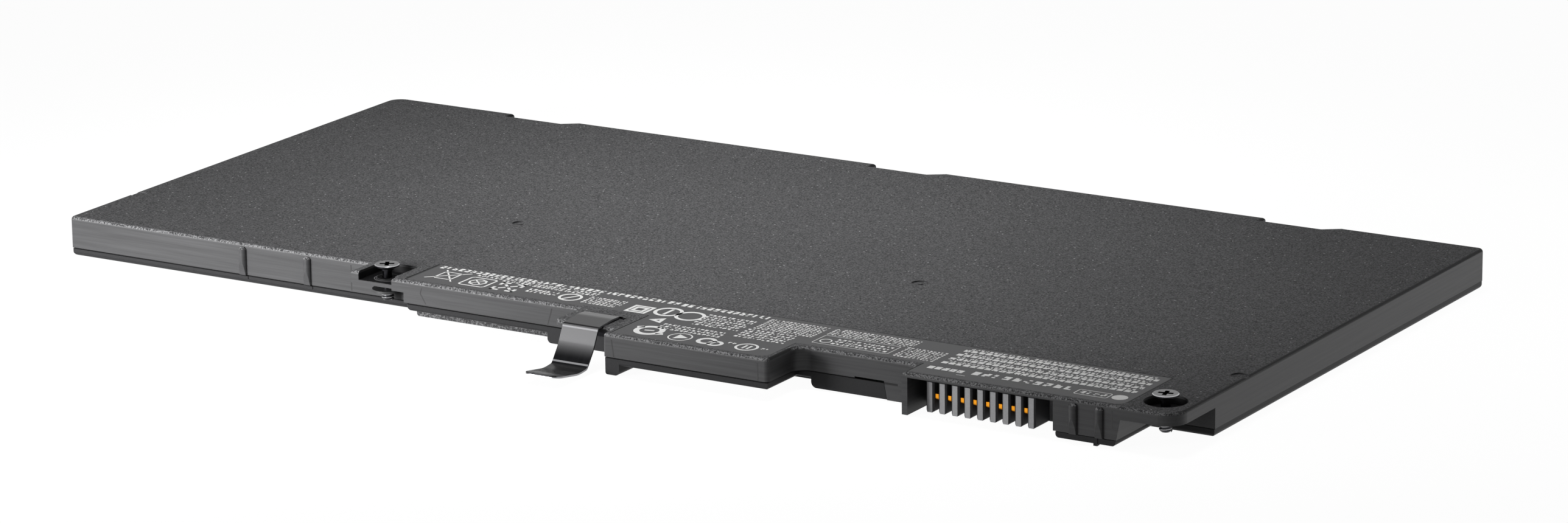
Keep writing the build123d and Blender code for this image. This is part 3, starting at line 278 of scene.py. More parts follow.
def screw_well_shade(tree, place):
    """Masks for the painted shade in the black, untextured wells round both screws, and for the left plate's
    ring marks, whose shine is painted.
    """
    left, right = (sum(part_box(side + "_screw"), Vector()) / 2 for side in ("left", "right"))
    spot = add_node(tree, "ShaderNodeSeparateXYZ", {"Vector": place["Object"]}).outputs
    level = add_node(tree, "ShaderNodeCombineXYZ", {"X": spot["X"], "Y": spot["Y"]})
    reach_left, reach_right = (
        add_node(tree, "ShaderNodeVectorMath", {0: level, 1: (axis.x, axis.y, 0)}, operation="DISTANCE")
        for axis in (left, right)
    )
    wide = add_node(tree, "ShaderNodeMath", {
        0: spot["X"], 1: left.x, 2: NOTCH_HALF[0] * MM,
    }, operation="COMPARE")
    deep = add_node(tree, "ShaderNodeMath", {
        0: spot["Y"], 1: left.y + NOTCH_MIDDLE * MM, 2: NOTCH_HALF[1] * MM,
    }, operation="COMPARE")
    notch = add_node(tree, "ShaderNodeMath", {0: wide, 1: deep}, operation="MULTIPLY")
    hole = add_node(tree, "ShaderNodeMath", {0: reach_right, 1: HOLE_RADIUS * MM}, operation="LESS_THAN")
    either = add_node(tree, "ShaderNodeMath", {0: notch, 1: hole}, operation="MAXIMUM")
    height = add_node(tree, "ShaderNodeMath", {
        0: spot["Z"], 1: sum(WELL_HEIGHTS) / 2 * MM, 2: (WELL_HEIGHTS[1] - WELL_HEIGHTS[0]) / 2 * MM,
    }, operation="COMPARE")
    wells = add_node(tree, "ShaderNodeMath", {0: either, 1: height}, operation="MULTIPLY")
    inner, outer = (
        add_node(tree, "ShaderNodeMath", {
            0: reach_left, 1: radius * MM, 2: RING_MARK / 2 * MM,
        }, operation="COMPARE")
        for radius in RING_MARKS
    )
    both = add_node(tree, "ShaderNodeMath", {0: inner, 1: outer}, operation="MAXIMUM")
    rings = add_node(tree, "ShaderNodeMath", {0: both, 1: height}, operation="MULTIPLY")
    return wells, rings


KEEL_TOP = 1.7  # the textured keel under the front strip lies below this height
KEEL_FRONT = -4.5


def tray_abs():
    """ABS of the bottom cover: satin, with the coarse spark texture of its keel."""
    look = bpy.context.scene.battery_case
    material, tree = new_material("satin_abs_tray")
    place = add_node(tree, "ShaderNodeTexCoord").outputs
    grain = add_node(tree, "ShaderNodeTexNoise", {
        "Vector": place["Object"], "Scale": per_mm(0.4), "Detail": 4.0, "Roughness": 0.8,
    })
    spot = add_node(tree, "ShaderNodeSeparateXYZ", {"Vector": place["Object"]}).outputs
    low = add_node(tree, "ShaderNodeMath", {0: spot["Z"], 1: KEEL_TOP * MM}, operation="LESS_THAN")
    behind = add_node(tree, "ShaderNodeMath", {
        0: spot["Y"], 1: on_slab(0, KEEL_FRONT).y,
    }, operation="GREATER_THAN")
    ahead = add_node(tree, "ShaderNodeMath", {
        0: spot["Y"], 1: on_slab(0, STRIP_START).y,
    }, operation="LESS_THAN")
    band = add_node(tree, "ShaderNodeMath", {0: behind, 1: ahead}, operation="MULTIPLY")
    keel = add_node(tree, "ShaderNodeMath", {0: low, 1: band}, operation="MULTIPLY")
    speck = add_node(tree, "ShaderNodeMapRange", {"Value": grain, "From Min": 0.46, "From Max": 0.6})
    keel_speck = add_node(tree, "ShaderNodeMath", {0: speck, 1: keel}, operation="MULTIPLY")
    tone = add_node(tree, "ShaderNodeMix", {
        "Factor": grain, "A": look.tray_dark, "B": look.tray_light,
    }, data_type="RGBA")
    spotted = add_node(tree, "ShaderNodeMix", {
        "Factor": keel_speck, "A": tone, "B": look.deck_pale,
    }, data_type="RGBA")
    # Painted shade: the rim and the lip in the parting groove, and a band along the groove, are painted black
    facing = add_node(tree, "ShaderNodeSeparateXYZ", {"Vector": place["Normal"]}).outputs
    rim = add_node(tree, "ShaderNodeMath", {0: facing["Z"], 1: 0.5}, operation="GREATER_THAN")
    parting = parting_groove_shade(tree, place)
    groove = add_node(tree, "ShaderNodeMath", {0: parting, 1: rim}, operation="MAXIMUM")
    spotted = add_node(tree, "ShaderNodeMix", {
        "Factor": groove, "A": spotted, "B": look.painted_shade,
    }, data_type="RGBA")
    soft = add_node(tree, "ShaderNodeMapRange", {"Value": keel, "To Min": 0.1, "To Max": 1.0})
    rise = add_node(tree, "ShaderNodeMath", {0: grain, 1: soft}, operation="MULTIPLY")
    bump = add_node(tree, "ShaderNodeBump", {"Height": rise, "Strength": 0.7, "Distance": 0.06 * MM})
    shader = add_node(tree, "ShaderNodeBsdfPrincipled", {
        "Base Color": spotted, "Roughness": 0.42, "IOR": ABS_IOR, "Specular IOR Level": 0.1, "Normal": bump,
    })
    add_node(tree, "ShaderNodeOutputMaterial", {"Surface": shader})
    return material


LEFT_SHADE = 0.4  # widths of the dark lines at the label's ends, drawn wider than life to show
RIGHT_SHADE = 0.22


def polyester_film():
    """Satin polyester label film: smooth, with a slight waviness from the adhesive below."""
    look = bpy.context.scene.battery_label
    material, tree = new_material("polyester_film")
    place = add_node(tree, "ShaderNodeTexCoord").outputs
    wave = add_node(tree, "ShaderNodeTexNoise", {
        "Vector": place["Object"], "Scale": per_mm(3.0), "Detail": 2.0,
    })
    tone = add_node(tree, "ShaderNodeMix", {
        "Factor": wave, "A": look.film_dark, "B": look.film_light,
    }, data_type="RGBA")
    # Both ends lie in the shade of the recess wall
    low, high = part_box("label_film")
    spot = add_node(tree, "ShaderNodeSeparateXYZ", {"Vector": place["Object"]}).outputs
    start = add_node(tree, "ShaderNodeMath", {
        0: spot["X"], 1: low.x + LEFT_SHADE * MM,
    }, operation="LESS_THAN")
    end = add_node(tree, "ShaderNodeMath", {
        0: spot["X"], 1: high.x - RIGHT_SHADE * MM,
    }, operation="GREATER_THAN")
    shade = add_node(tree, "ShaderNodeMath", {0: start, 1: end}, operation="MAXIMUM")
    tone = add_node(tree, "ShaderNodeMix", {
        "Factor": shade, "A": tone, "B": from_hex("#060607"),
    }, data_type="RGBA")
    bump = add_node(tree, "ShaderNodeBump", {"Height": wave, "Strength": 0.15, "Distance": 0.03 * MM})
    shader = add_node(tree, "ShaderNodeBsdfPrincipled", {
        "Base Color": tone, "Roughness": 0.45, "IOR": 1.5, "Specular IOR Level": 0.08, "Normal": bump,
    })
    add_node(tree, "ShaderNodeOutputMaterial", {"Surface": shader})
    return material


def screen_ink():
    """Screen-printed light grey ink, slightly uneven in cover."""
    look = bpy.context.scene.battery_label
    material, tree = new_material("screen_ink")
    place = add_node(tree, "ShaderNodeTexCoord").outputs
    cover = add_node(tree, "ShaderNodeTexNoise", {
        "Vector": place["Object"], "Scale": per_mm(0.5), "Detail": 2.0,
    })
    tone = add_node(tree, "ShaderNodeMix", {
        "Factor": cover, "A": look.ink_dark, "B": look.ink_light,
    }, data_type="RGBA")
    shader = add_node(tree, "ShaderNodeBsdfPrincipled", {
        "Base Color": tone, "Roughness": 0.6, "Specular IOR Level": 0.1,
    })
    add_node(tree, "ShaderNodeOutputMaterial", {"Surface": shader})
    return material


def thread_steel():
    """Rolled steel thread crests, painted bright as their highlight: half gloss and a little uneven."""
    material, tree = new_material("thread_steel")
    place = add_node(tree, "ShaderNodeTexCoord").outputs
    crest_unevenness = add_node(tree, "ShaderNodeTexNoise", {
        "Vector": place["Object"], "Scale": per_mm(0.5), "Detail": 3.0, "Roughness": 0.6,
    })
    tone = add_node(tree, "ShaderNodeMix", {
        "Factor": crest_unevenness, "A": from_hex("#8c8c8e"), "B": from_hex("#b4b4b6"),
    }, data_type="RGBA")
    rough = add_node(tree, "ShaderNodeMapRange", {"Value": crest_unevenness, "To Min": 0.24, "To Max": 0.36})
    shader = add_node(tree, "ShaderNodeBsdfPrincipled", {
        "Base Color": tone, "Metallic": 1.0, "Roughness": rough,
    })
    add_node(tree, "ShaderNodeOutputMaterial", {"Surface": shader})
    return material


LEG_REACH = 15.6  # the clip's leg stands further out than this
LEG_FADE = (2.4, 5.2)  # its painted reflection fades in between these heights, dark below and lighter above
BEND_HEIGHTS = (7.0, 1.8)  # heights where the clip's two bends get a painted highlight
BEND_HALF = 0.13  # half the height of a bend's bright line


def spring_steel():
    """Blued spring steel: a dark mirror, with a painted reflection high on the leg and painted highlights on
    the bends and the sideways-facing edges.
    """
    material, tree = new_material("blued_spring_steel")
    place = add_node(tree, "ShaderNodeTexCoord").outputs
    along = add_node(tree, "ShaderNodeMapping", {"Vector": place["Object"], "Scale": (1.0, 0.05, 0.05)})
    draw = add_node(tree, "ShaderNodeTexNoise", {
        "Vector": along, "Scale": per_mm(0.6), "Detail": 3.0, "Roughness": 0.6,
    })
    spot = add_node(tree, "ShaderNodeSeparateXYZ", {"Vector": place["Object"]}).outputs
    facing = add_node(tree, "ShaderNodeSeparateXYZ", {"Vector": place["Normal"]}).outputs
    # Painted reflection: the leg is painted lighter high up, fading into the dark oxide down to the lower
    # bend
    leg = add_node(tree, "ShaderNodeMapRange", {
        "Value": spot["Z"], "From Min": LEG_FADE[0] * MM, "From Max": LEG_FADE[1] * MM,
    }, interpolation_type="SMOOTHSTEP")
    ahead = add_node(tree, "ShaderNodeMath", {
        0: spot["Y"], 1: on_slab(0, -LEG_REACH).y,
    }, operation="LESS_THAN")
    painted_reflection = add_node(tree, "ShaderNodeMath", {0: leg, 1: ahead}, operation="MULTIPLY")
    oxide = add_node(tree, "ShaderNodeMix", {
        "Factor": draw, "A": from_hex("#131314"), "B": from_hex("#222224"),
    }, data_type="RGBA")
    tone = add_node(tree, "ShaderNodeMix", {
        "Factor": painted_reflection, "A": oxide, "B": from_hex("#6a6a6b"),
    }, data_type="RGBA")
    # Painted highlights: a thin bright line on each bend, and on the edges that face sideways
    bends = []
    for level in BEND_HEIGHTS:
        line = add_node(tree, "ShaderNodeMath", {
            0: spot["Z"], 1: level * MM, 2: BEND_HALF * MM,
        }, operation="COMPARE")
        bends.append(add_node(tree, "ShaderNodeMath", {0: line, 1: ahead}, operation="MULTIPLY"))
    bend = add_node(tree, "ShaderNodeMath", {0: bends[0], 1: bends[1]}, operation="MAXIMUM")
    side = add_node(tree, "ShaderNodeMath", {0: facing["X"]}, operation="ABSOLUTE")
    sheared = add_node(tree, "ShaderNodeMapRange", {"Value": side, "From Min": 0.6, "From Max": 0.8})
    painted_shine = add_node(tree, "ShaderNodeMath", {0: bend, 1: sheared}, operation="MAXIMUM")
    tone = add_node(tree, "ShaderNodeMix", {
        "Factor": painted_shine, "A": tone, "B": from_hex("#8c8c8e"),
    }, data_type="RGBA")
    shader = add_node(tree, "ShaderNodeBsdfPrincipled", {
        "Base Color": tone, "Metallic": 1.0, "Roughness": 0.24,
    })
    add_node(tree, "ShaderNodeOutputMaterial", {"Surface": shader})
    return material


# The screws' drive recess: half its length, half an arm's width with the mouth round it painted black as
# shade, drawn a little wider than life to show, and its depth. The screws stand turned by these angles in
# degrees.
RECESS_REACH = 1.27
RECESS_ARM = 0.37
RECESS_DEPTH = 0.7
SCREW_TURNS = {"left_screw": 31.0, "right_screw": 12.0}


def drive_recess(tree, place, node):
    """A mask for the painted shade in the cross recess of a screw's head, with its mouth."""
    low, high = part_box(node)
    axis = (low + high) / 2
    turned = add_node(tree, "ShaderNodeVectorRotate", {
        "Vector": place["Object"], "Center": (axis.x, axis.y, 0), "Angle": -math.radians(SCREW_TURNS[node]),
    }, rotation_type="Z_AXIS")
    offset = add_node(tree, "ShaderNodeVectorMath", {
        0: turned, 1: (axis.x, axis.y, high.z),
    }, operation="SUBTRACT")
    size = add_node(tree, "ShaderNodeVectorMath", {0: offset}, operation="ABSOLUTE")
    away = add_node(tree, "ShaderNodeSeparateXYZ", {"Vector": size}).outputs
    across = add_node(tree, "ShaderNodeMath", {0: away["X"], 1: away["Y"]}, operation="MINIMUM")
    along = add_node(tree, "ShaderNodeMath", {0: away["X"], 1: away["Y"]}, operation="MAXIMUM")
    narrow = add_node(tree, "ShaderNodeMath", {0: across, 1: RECESS_ARM * MM}, operation="LESS_THAN")
    short = add_node(tree, "ShaderNodeMath", {0: along, 1: RECESS_REACH * MM}, operation="LESS_THAN")
    head = add_node(tree, "ShaderNodeMath", {0: away["Z"], 1: RECESS_DEPTH * MM}, operation="LESS_THAN")
    arm = add_node(tree, "ShaderNodeMath", {0: narrow, 1: short}, operation="MULTIPLY")
    return add_node(tree, "ShaderNodeMath", {0: arm, 1: head}, operation="MULTIPLY")


def screw_steel(node):
    """Black-oxided screw: dark faces, a flat top painted a little lighter and a painted highlight on the
    head's rim.
    """
    material, tree = new_material("black_oxide_" + node)
    place = add_node(tree, "ShaderNodeTexCoord").outputs
    spots = add_node(tree, "ShaderNodeTexNoise", {
        "Vector": place["Object"], "Scale": per_mm(0.4), "Detail": 3.0, "Roughness": 0.6,
    })
    facing = add_node(tree, "ShaderNodeSeparateXYZ", {"Vector": place["Normal"]}).outputs
    # Painted light: the flat top a little lighter, the bevelled rim a bright highlight
    flat = add_node(tree, "ShaderNodeMapRange", {"Value": facing["Z"], "From Min": 0.93, "From Max": 0.98})
    rising = add_node(tree, "ShaderNodeMapRange", {"Value": facing["Z"], "From Min": 0.1, "From Max": 0.35})
    rim = add_node(tree, "ShaderNodeMath", {0: rising, 1: flat}, operation="SUBTRACT")
    oxide = add_node(tree, "ShaderNodeMix", {
        "Factor": spots, "A": from_hex("#1e1e20"), "B": from_hex("#303033"),
    }, data_type="RGBA")
    top = add_node(tree, "ShaderNodeMix", {
        "Factor": flat, "A": oxide, "B": from_hex("#404042"),
    }, data_type="RGBA")
    tone = add_node(tree, "ShaderNodeMix", {
        "Factor": rim, "A": top, "B": from_hex("#a6a6a8"),
    }, data_type="RGBA")
    # Painted shade: the drive recess and the mouth round it are painted near black and made non-metal, so
    # that they stay dark
    recess = drive_recess(tree, place, node)
    metal = add_node(tree, "ShaderNodeMath", {0: 1.0, 1: recess}, operation="SUBTRACT")
    tone = add_node(tree, "ShaderNodeMix", {
        "Factor": recess, "A": tone, "B": from_hex("#060607"),
    }, data_type="RGBA")
    shader = add_node(tree, "ShaderNodeBsdfPrincipled", {
        "Base Color": tone, "Metallic": metal, "Roughness": 0.26, "Specular IOR Level": 0.0,
    })
    add_node(tree, "ShaderNodeOutputMaterial", {"Surface": shader})
    return material


def nylon_with_painted_light():
    """Glass-filled nylon of the comb: dark flanks, and front ends painted light grey as the light they catch.
    """
    material, tree = new_material("glass_filled_nylon")
    place = add_node(tree, "ShaderNodeTexCoord").outputs
    fibres = add_node(tree, "ShaderNodeTexNoise", {
        "Vector": place["Object"], "Scale": per_mm(0.3), "Detail": 3.0, "Roughness": 0.6,
    })
    facing = add_node(tree, "ShaderNodeSeparateXYZ", {"Vector": place["Normal"]}).outputs
    # Painted light: faces turned to the front are painted light grey
    front = add_node(tree, "ShaderNodeMapRange", {
        "Value": facing["Y"], "From Min": -0.75, "From Max": -0.95,
    })
    flank = add_node(tree, "ShaderNodeMix", {
        "Factor": fibres, "A": from_hex("#363638"), "B": from_hex("#464648"),
    }, data_type="RGBA")
    end = add_node(tree, "ShaderNodeMix", {
        "Factor": fibres, "A": from_hex("#98989a"), "B": from_hex("#b2b2b4"),
    }, data_type="RGBA")
    tone = add_node(tree, "ShaderNodeMix", {"Factor": front, "A": flank, "B": end}, data_type="RGBA")
    bump = add_node(tree, "ShaderNodeBump", {"Height": fibres, "Strength": 0.4, "Distance": 0.02 * MM})
    shader = add_node(tree, "ShaderNodeBsdfPrincipled", {
        "Base Color": tone, "Roughness": 0.55, "Specular IOR Level": 0.2, "Normal": bump,
    })
    add_node(tree, "ShaderNodeOutputMaterial", {"Surface": shader})
    return material


def spotted_finish(name, dark, light, size, roughness, metallic=0.0, depth=0.02):
    """A moulded, plated or pressed finish whose tone and height vary over a given size."""
    material, tree = new_material(name)
    place = add_node(tree, "ShaderNodeTexCoord").outputs
    spots = add_node(tree, "ShaderNodeTexNoise", {
        "Vector": place["Object"], "Scale": per_mm(size), "Detail": 3.0, "Roughness": 0.6,
    })
    tone = add_node(tree, "ShaderNodeMix", {
        "Factor": spots, "A": from_hex(dark), "B": from_hex(light),
    }, data_type="RGBA")
    bump = add_node(tree, "ShaderNodeBump", {"Height": spots, "Strength": 0.4, "Distance": depth * MM})
    shader = add_node(tree, "ShaderNodeBsdfPrincipled", {
        "Base Color": tone, "Metallic": metallic, "Roughness": roughness, "Normal": bump,
    })
    add_node(tree, "ShaderNodeOutputMaterial", {"Surface": shader})
    return material


# Settings that a user would change


def tone_setting(name, description, default):
    """A colour, given as sRGB hex."""
    return bpy.props.FloatVectorProperty(
        name=name, description=description, subtype="COLOR", size=3, default=from_hex(default))


def length_setting(name, description, default, precision=5):
    """A length, given in millimetres."""
    return bpy.props.FloatProperty(
        name=name, description=description, subtype="DISTANCE", unit="LENGTH", default=default * MM,
        precision=precision)


def power_setting(name, description, default):
    """A lamp's power in watts."""
    return bpy.props.FloatProperty(
        name=name, description=description, subtype="POWER", unit="POWER", default=default, min=0.0)


class CaseSettings(bpy.types.PropertyGroup):
    deck_dark: tone_setting("Deck, pits", "Tone at the bottom of the deck's texture", "#303031")
    deck_light: tone_setting("Deck, peaks", "Tone of the texture's peaks", "#5c5c5d")
    deck_pale: tone_setting(
        "Deck, paler peaks", "Tone of the peaks where the moulding came out paler", "#6a6a6b")
    # Painted highlight: tone of the light specks on the deck
    painted_glint: tone_setting("Glints", "Tone of the single facets that catch the light", "#b0b0b1")
    # Painted highlight on the front edges and on the left plate's ring marks
    painted_highlight: tone_setting("Edge, lit", "Tone of the crumbly edge in front", "#747475")
    # Painted shade on the other edges, in the parting groove, on faces turned down and in the screw wells
    painted_shade: tone_setting("Edge, dark", "Tone of the rounded edge at the ends", "#0c0c0d")
    wall_dark: tone_setting("Wall, dark", "Darker streaks of the satin walls", "#343435")
    wall_light: tone_setting("Wall, light", "Lighter streaks of the satin walls", "#424243")
    tray_dark: tone_setting("Tray, dark", "Darker tone of the bottom cover", "#222223")
    tray_light: tone_setting("Tray, light", "Lighter tone of the bottom cover", "#2d2d2e")
    grain_size: length_setting("Grain size", "Width of one grain of the deck's texture", 0.3)
    grain_depth: length_setting("Grain depth", "Depth of the deck's texture", 0.05, 6)
    seam_width: length_setting(
        "Seam width", "Width of the fine lines where the mould's parts meet, wider than life to show", 0.24)


class LabelSettings(bpy.types.PropertyGroup):
    film_dark: tone_setting("Film, dark", "Darker tone of the label film", "#3c3c3d")
    film_light: tone_setting("Film, light", "Lighter tone of the label film", "#424243")
    ink_dark: tone_setting("Ink, thin", "Where the printed ink lies thin", "#cacac9")
    ink_light: tone_setting("Ink, full", "Where the printed ink covers fully", "#e4e4e3")
    stroke: length_setting("Stroke", "Line width of the printed outlines", 0.35)
    seed: bpy.props.IntProperty(
        name="Seed", description="Picks the pattern of the small printed marks", default=7, min=0)


class ThreadSettings(bpy.types.PropertyGroup):
    pitch: length_setting(
        "Pitch", "Distance between two crests of the screw thread, coarser than life to show", 0.5)
    height: length_setting("Crest", "How far the crest stands out of the core", 0.09)


class StageSettings(bpy.types.PropertyGroup):
    floor_colour: tone_setting("Floor", "Colour of the floor", "#b4b4b4")
    ambient: bpy.props.FloatProperty(
        name="Ambient", description="Strength of the even light from all round", default=0.05, min=0.0)
    key_power: power_setting("Key light", "Power of the softbox in front, on the left", 2.7)
    low_power: power_setting("Low light", "Power of the small softbox close to the left end", 0.23)
    top_power: power_setting("Top light", "Power of the softbox overhead", 0.11)
    right_power: power_setting("Right light", "Power of the small softbox beside the right end", 0.12)


SETTINGS = {
    "battery_case": CaseSettings,
    "battery_label": LabelSettings,
    "battery_thread": ThreadSettings,
    "battery_stage": StageSettings,
}


# Label print. Places are in millimetres from the slab's front left corner.

PRINT_RISE = 0.012  # the ink's top above the film

# Lines of small marks: left, right, lowest y, mark height, lines, line pitch, a cell's width, rows of cells
PRINT_LINES = (
    ("headline", 78.0, 127.0, 3.2, 1.5, 1, 0.0, 0.42, 5),
    ("headline_right", 127.4, 144.4, 2.9, 1.5, 1, 0.0, 0.42, 5),
    ("note_square", 86.6, 91.6, 2.1, 0.75, 1, 0.0, 0.3, 3),
    ("note_bracket", 92.2, 98.0, 1.4, 0.7, 2, 0.9, 0.3, 3),
    ("note_number", 98.6, 111.4, 1.0, 0.8, 2, 1.05, 0.3, 3),
    ("note_rating", 99.2, 105.4, -2.1, 0.9, 2, 1.15, 0.3, 3),
    ("note_ring", 111.2, 118.4, -3.3, 0.6, 5, 0.85, 0.26, 3),
    ("note_middle", 134.6, 143.8, -5.6, 0.75, 6, 1.15, 0.3, 3),
    ("note_left", 130.9, 143.4, -10.4, 0.75, 3, 1.15, 0.3, 3),
    ("note_right", 144.8, 154.4, -8.4, 0.7, 5, 1.1, 0.3, 3),
    ("note_small_a", 146.2, 147.6, -12.4, 0.7, 1, 0.0, 0.28, 3),
    ("note_small_b", 152.8, 154.0, -12.9, 0.7, 1, 0.0, 0.28, 3),
    ("dense_left", 145.2, 156.8, -2.8, 0.55, 8, 0.82, 0.24, 3),
    ("dense_middle", 157.8, 174.0, 0.0, 0.55, 5, 0.82, 0.24, 3),
    ("dense_frame", 161.2, 172.0, -4.6, 0.75, 3, 1.2, 0.3, 3),
    ("dense_right", 173.6, 181.4, -5.6, 0.55, 7, 0.82, 0.24, 3),
    ("block_thin", 183.4, 217.6, -4.1, 0.7, 4, 2.5, 0.28, 3),
)
# Lines of square, denser marks
PRINT_BLOCKS = (
    ("block_rows", 182.6, 218.4, -5.4, 1.1, 4, 2.5, 0.27, 4),
    ("block_lead", 182.0, 188.8, -9.0, 1.4, 1, 0.0, 0.27, 4),
)
# Bold lines of marks
PRINT_BOLD = (
    ("bold", 190.2, 208.4, -8.9, 1.8, 1, 0.0, 0.62, 4),
    ("bold_box", 210.4, 215.0, -9.5, 1.3, 1, 0.0, 0.4, 4),
)
GAP_ROWS = 2  # rows of the grid between two lines
FILL_CHANCE = 0.92  # share of cells that are printed, in the dense marks
TEXT_CHANCE = 0.74  # and in the others


def on_label(x, y):
    """A place on top of the print."""
    return on_slab(x, y) + Vector((0, 0, LABEL_TOP + PRINT_RISE * MM))


def mark_cells(name, left, right, low, height, lines, pitch, column, rows, chance, fill=False):
    """Rows of small random marks, cut out of one fine grid: glyph-like, but no glyphs."""
    columns = max(4, round((right - left) / column))
    step = rows + GAP_ROWS
    total_rows = (lines - 1) * step + rows
    deselect()
    bpy.ops.mesh.primitive_grid_add(x_subdivisions=columns, y_subdivisions=total_rows, size=2)
    block = bpy.context.object
    block.name = name
    bpy.ops.object.mode_set(mode="EDIT")
    mesh = bmesh.from_edit_mesh(block.data)
    # Which columns carry a mark: small gaps after each letter, and now and then one between words
    printed = []
    for line in range(lines):
        letters = []
        run = chance.randint(2, 7)
        for index in range(columns):
            wide = index % 5 != 4 if fill else index % 3 != 2
            run -= 1
            if run < 0 and not fill:
                wide = False
                run = chance.randint(3, 9) * 3
            letters.append(wide)
        printed.append(letters)
    for face in mesh.faces:
        centre = face.calc_center_median()
        index = min(columns - 1, int((centre.x + 1) / 2 * columns))
        row = min(total_rows - 1, int((centre.y + 1) / 2 * total_rows))
        line, row_in_line = divmod(row, step)
        keep = (row_in_line < rows and printed[line][index]
                and chance.random() < (FILL_CHANCE if fill else TEXT_CHANCE))
        face.select_set(not keep)
    bmesh.update_edit_mesh(block.data)
    bpy.ops.mesh.delete(type="FACE")
    # Bring each row to its own height: marks, then the gap between two lines
    mesh = bmesh.from_edit_mesh(block.data)
    for vertex in mesh.verts:
        line, row_in_line = divmod(round((vertex.co.y + 1) / 2 * total_rows), step)
        vertex.co.x = (vertex.co.x + 1) / 2 * (right - left)
        vertex.co.y = line * pitch + min(row_in_line, rows) / rows * height
        if row_in_line > rows:
            vertex.co.y = line * pitch + height + (row_in_line - rows) / GAP_ROWS * (pitch - height)
    bmesh.update_edit_mesh(block.data)
    bpy.ops.object.mode_set(mode="OBJECT")
    block.scale = (MM, MM, MM)
    block.location = on_label(left, low)
    return block


def flat_ring(x, y, outer, inner, sides=40, turn=0.0):
    """A printed ring or outline: a flat disc with its middle inset and deleted. The turn is in degrees."""
    deselect()
    bpy.ops.mesh.primitive_circle_add(
        vertices=sides, radius=outer * MM, fill_type="NGON", rotation=(0, 0, math.radians(turn)))
    ring = bpy.context.object
    bpy.ops.object.mode_set(mode="EDIT")
    bpy.ops.mesh.select_all(action="SELECT")
    if inner:
        width = (outer - inner) * MM * (math.cos(math.pi / sides) if sides > 8 else 1)
        bpy.ops.mesh.inset(thickness=width, depth=0)
        bpy.ops.mesh.delete(type="FACE")
    bpy.ops.object.mode_set(mode="OBJECT")
    ring.location = on_label(x, y)
    return ring


def flat_bar(x, y, length, width, turn=0.0):
    """A printed bar: a flat square brought to size in edit mode. The turn is in degrees."""
    deselect()
    bpy.ops.mesh.primitive_plane_add(size=1)
    bar = bpy.context.object
    bpy.ops.object.mode_set(mode="EDIT")
    bpy.ops.mesh.select_all(action="SELECT")
    bpy.ops.transform.resize(value=(length * MM, width * MM, 1))
    bpy.ops.object.mode_set(mode="OBJECT")
    bar.rotation_euler.z = math.radians(turn)
    bar.location = on_label(x, y)
    return bar


def box_outline(left, right, low, high, stroke):
    """A printed rectangle outline with clipped corners."""
    middle_x, middle_y = (left + right) / 2, (low + high) / 2
    cut = stroke * 1.2
    parts = [flat_bar(middle_x, y, right - left - 2 * cut, stroke) for y in (low, high)]
    parts += [flat_bar(x, middle_y, stroke, high - low - 2 * cut) for x in (left, right)]
    for side_x in (left + cut / 2, right - cut / 2):
        for side_y in (low + cut / 2, high - cut / 2):
            rising = (side_x < middle_x) == (side_y < middle_y)
            parts.append(flat_bar(side_x, side_y, cut * 1.6, stroke, -45 if rising else 45))
    return parts


def corner_brackets(x, y):
    """Four bold corner brackets, each with a slanting bar towards the middle."""
    parts = []
    for side_x in (-1, 1):
        for side_y in (-1, 1):
            parts.append(flat_bar(x + side_x * 1.55, y + side_y * 2.1, 1.7, 0.6))
            parts.append(flat_bar(x + side_x * 2.1, y + side_y * 1.55, 0.6, 1.7))
            parts.append(flat_bar(x + side_x * 0.75, y + side_y * 0.75, 1.3, 0.5, side_x * side_y * 45))
    return parts


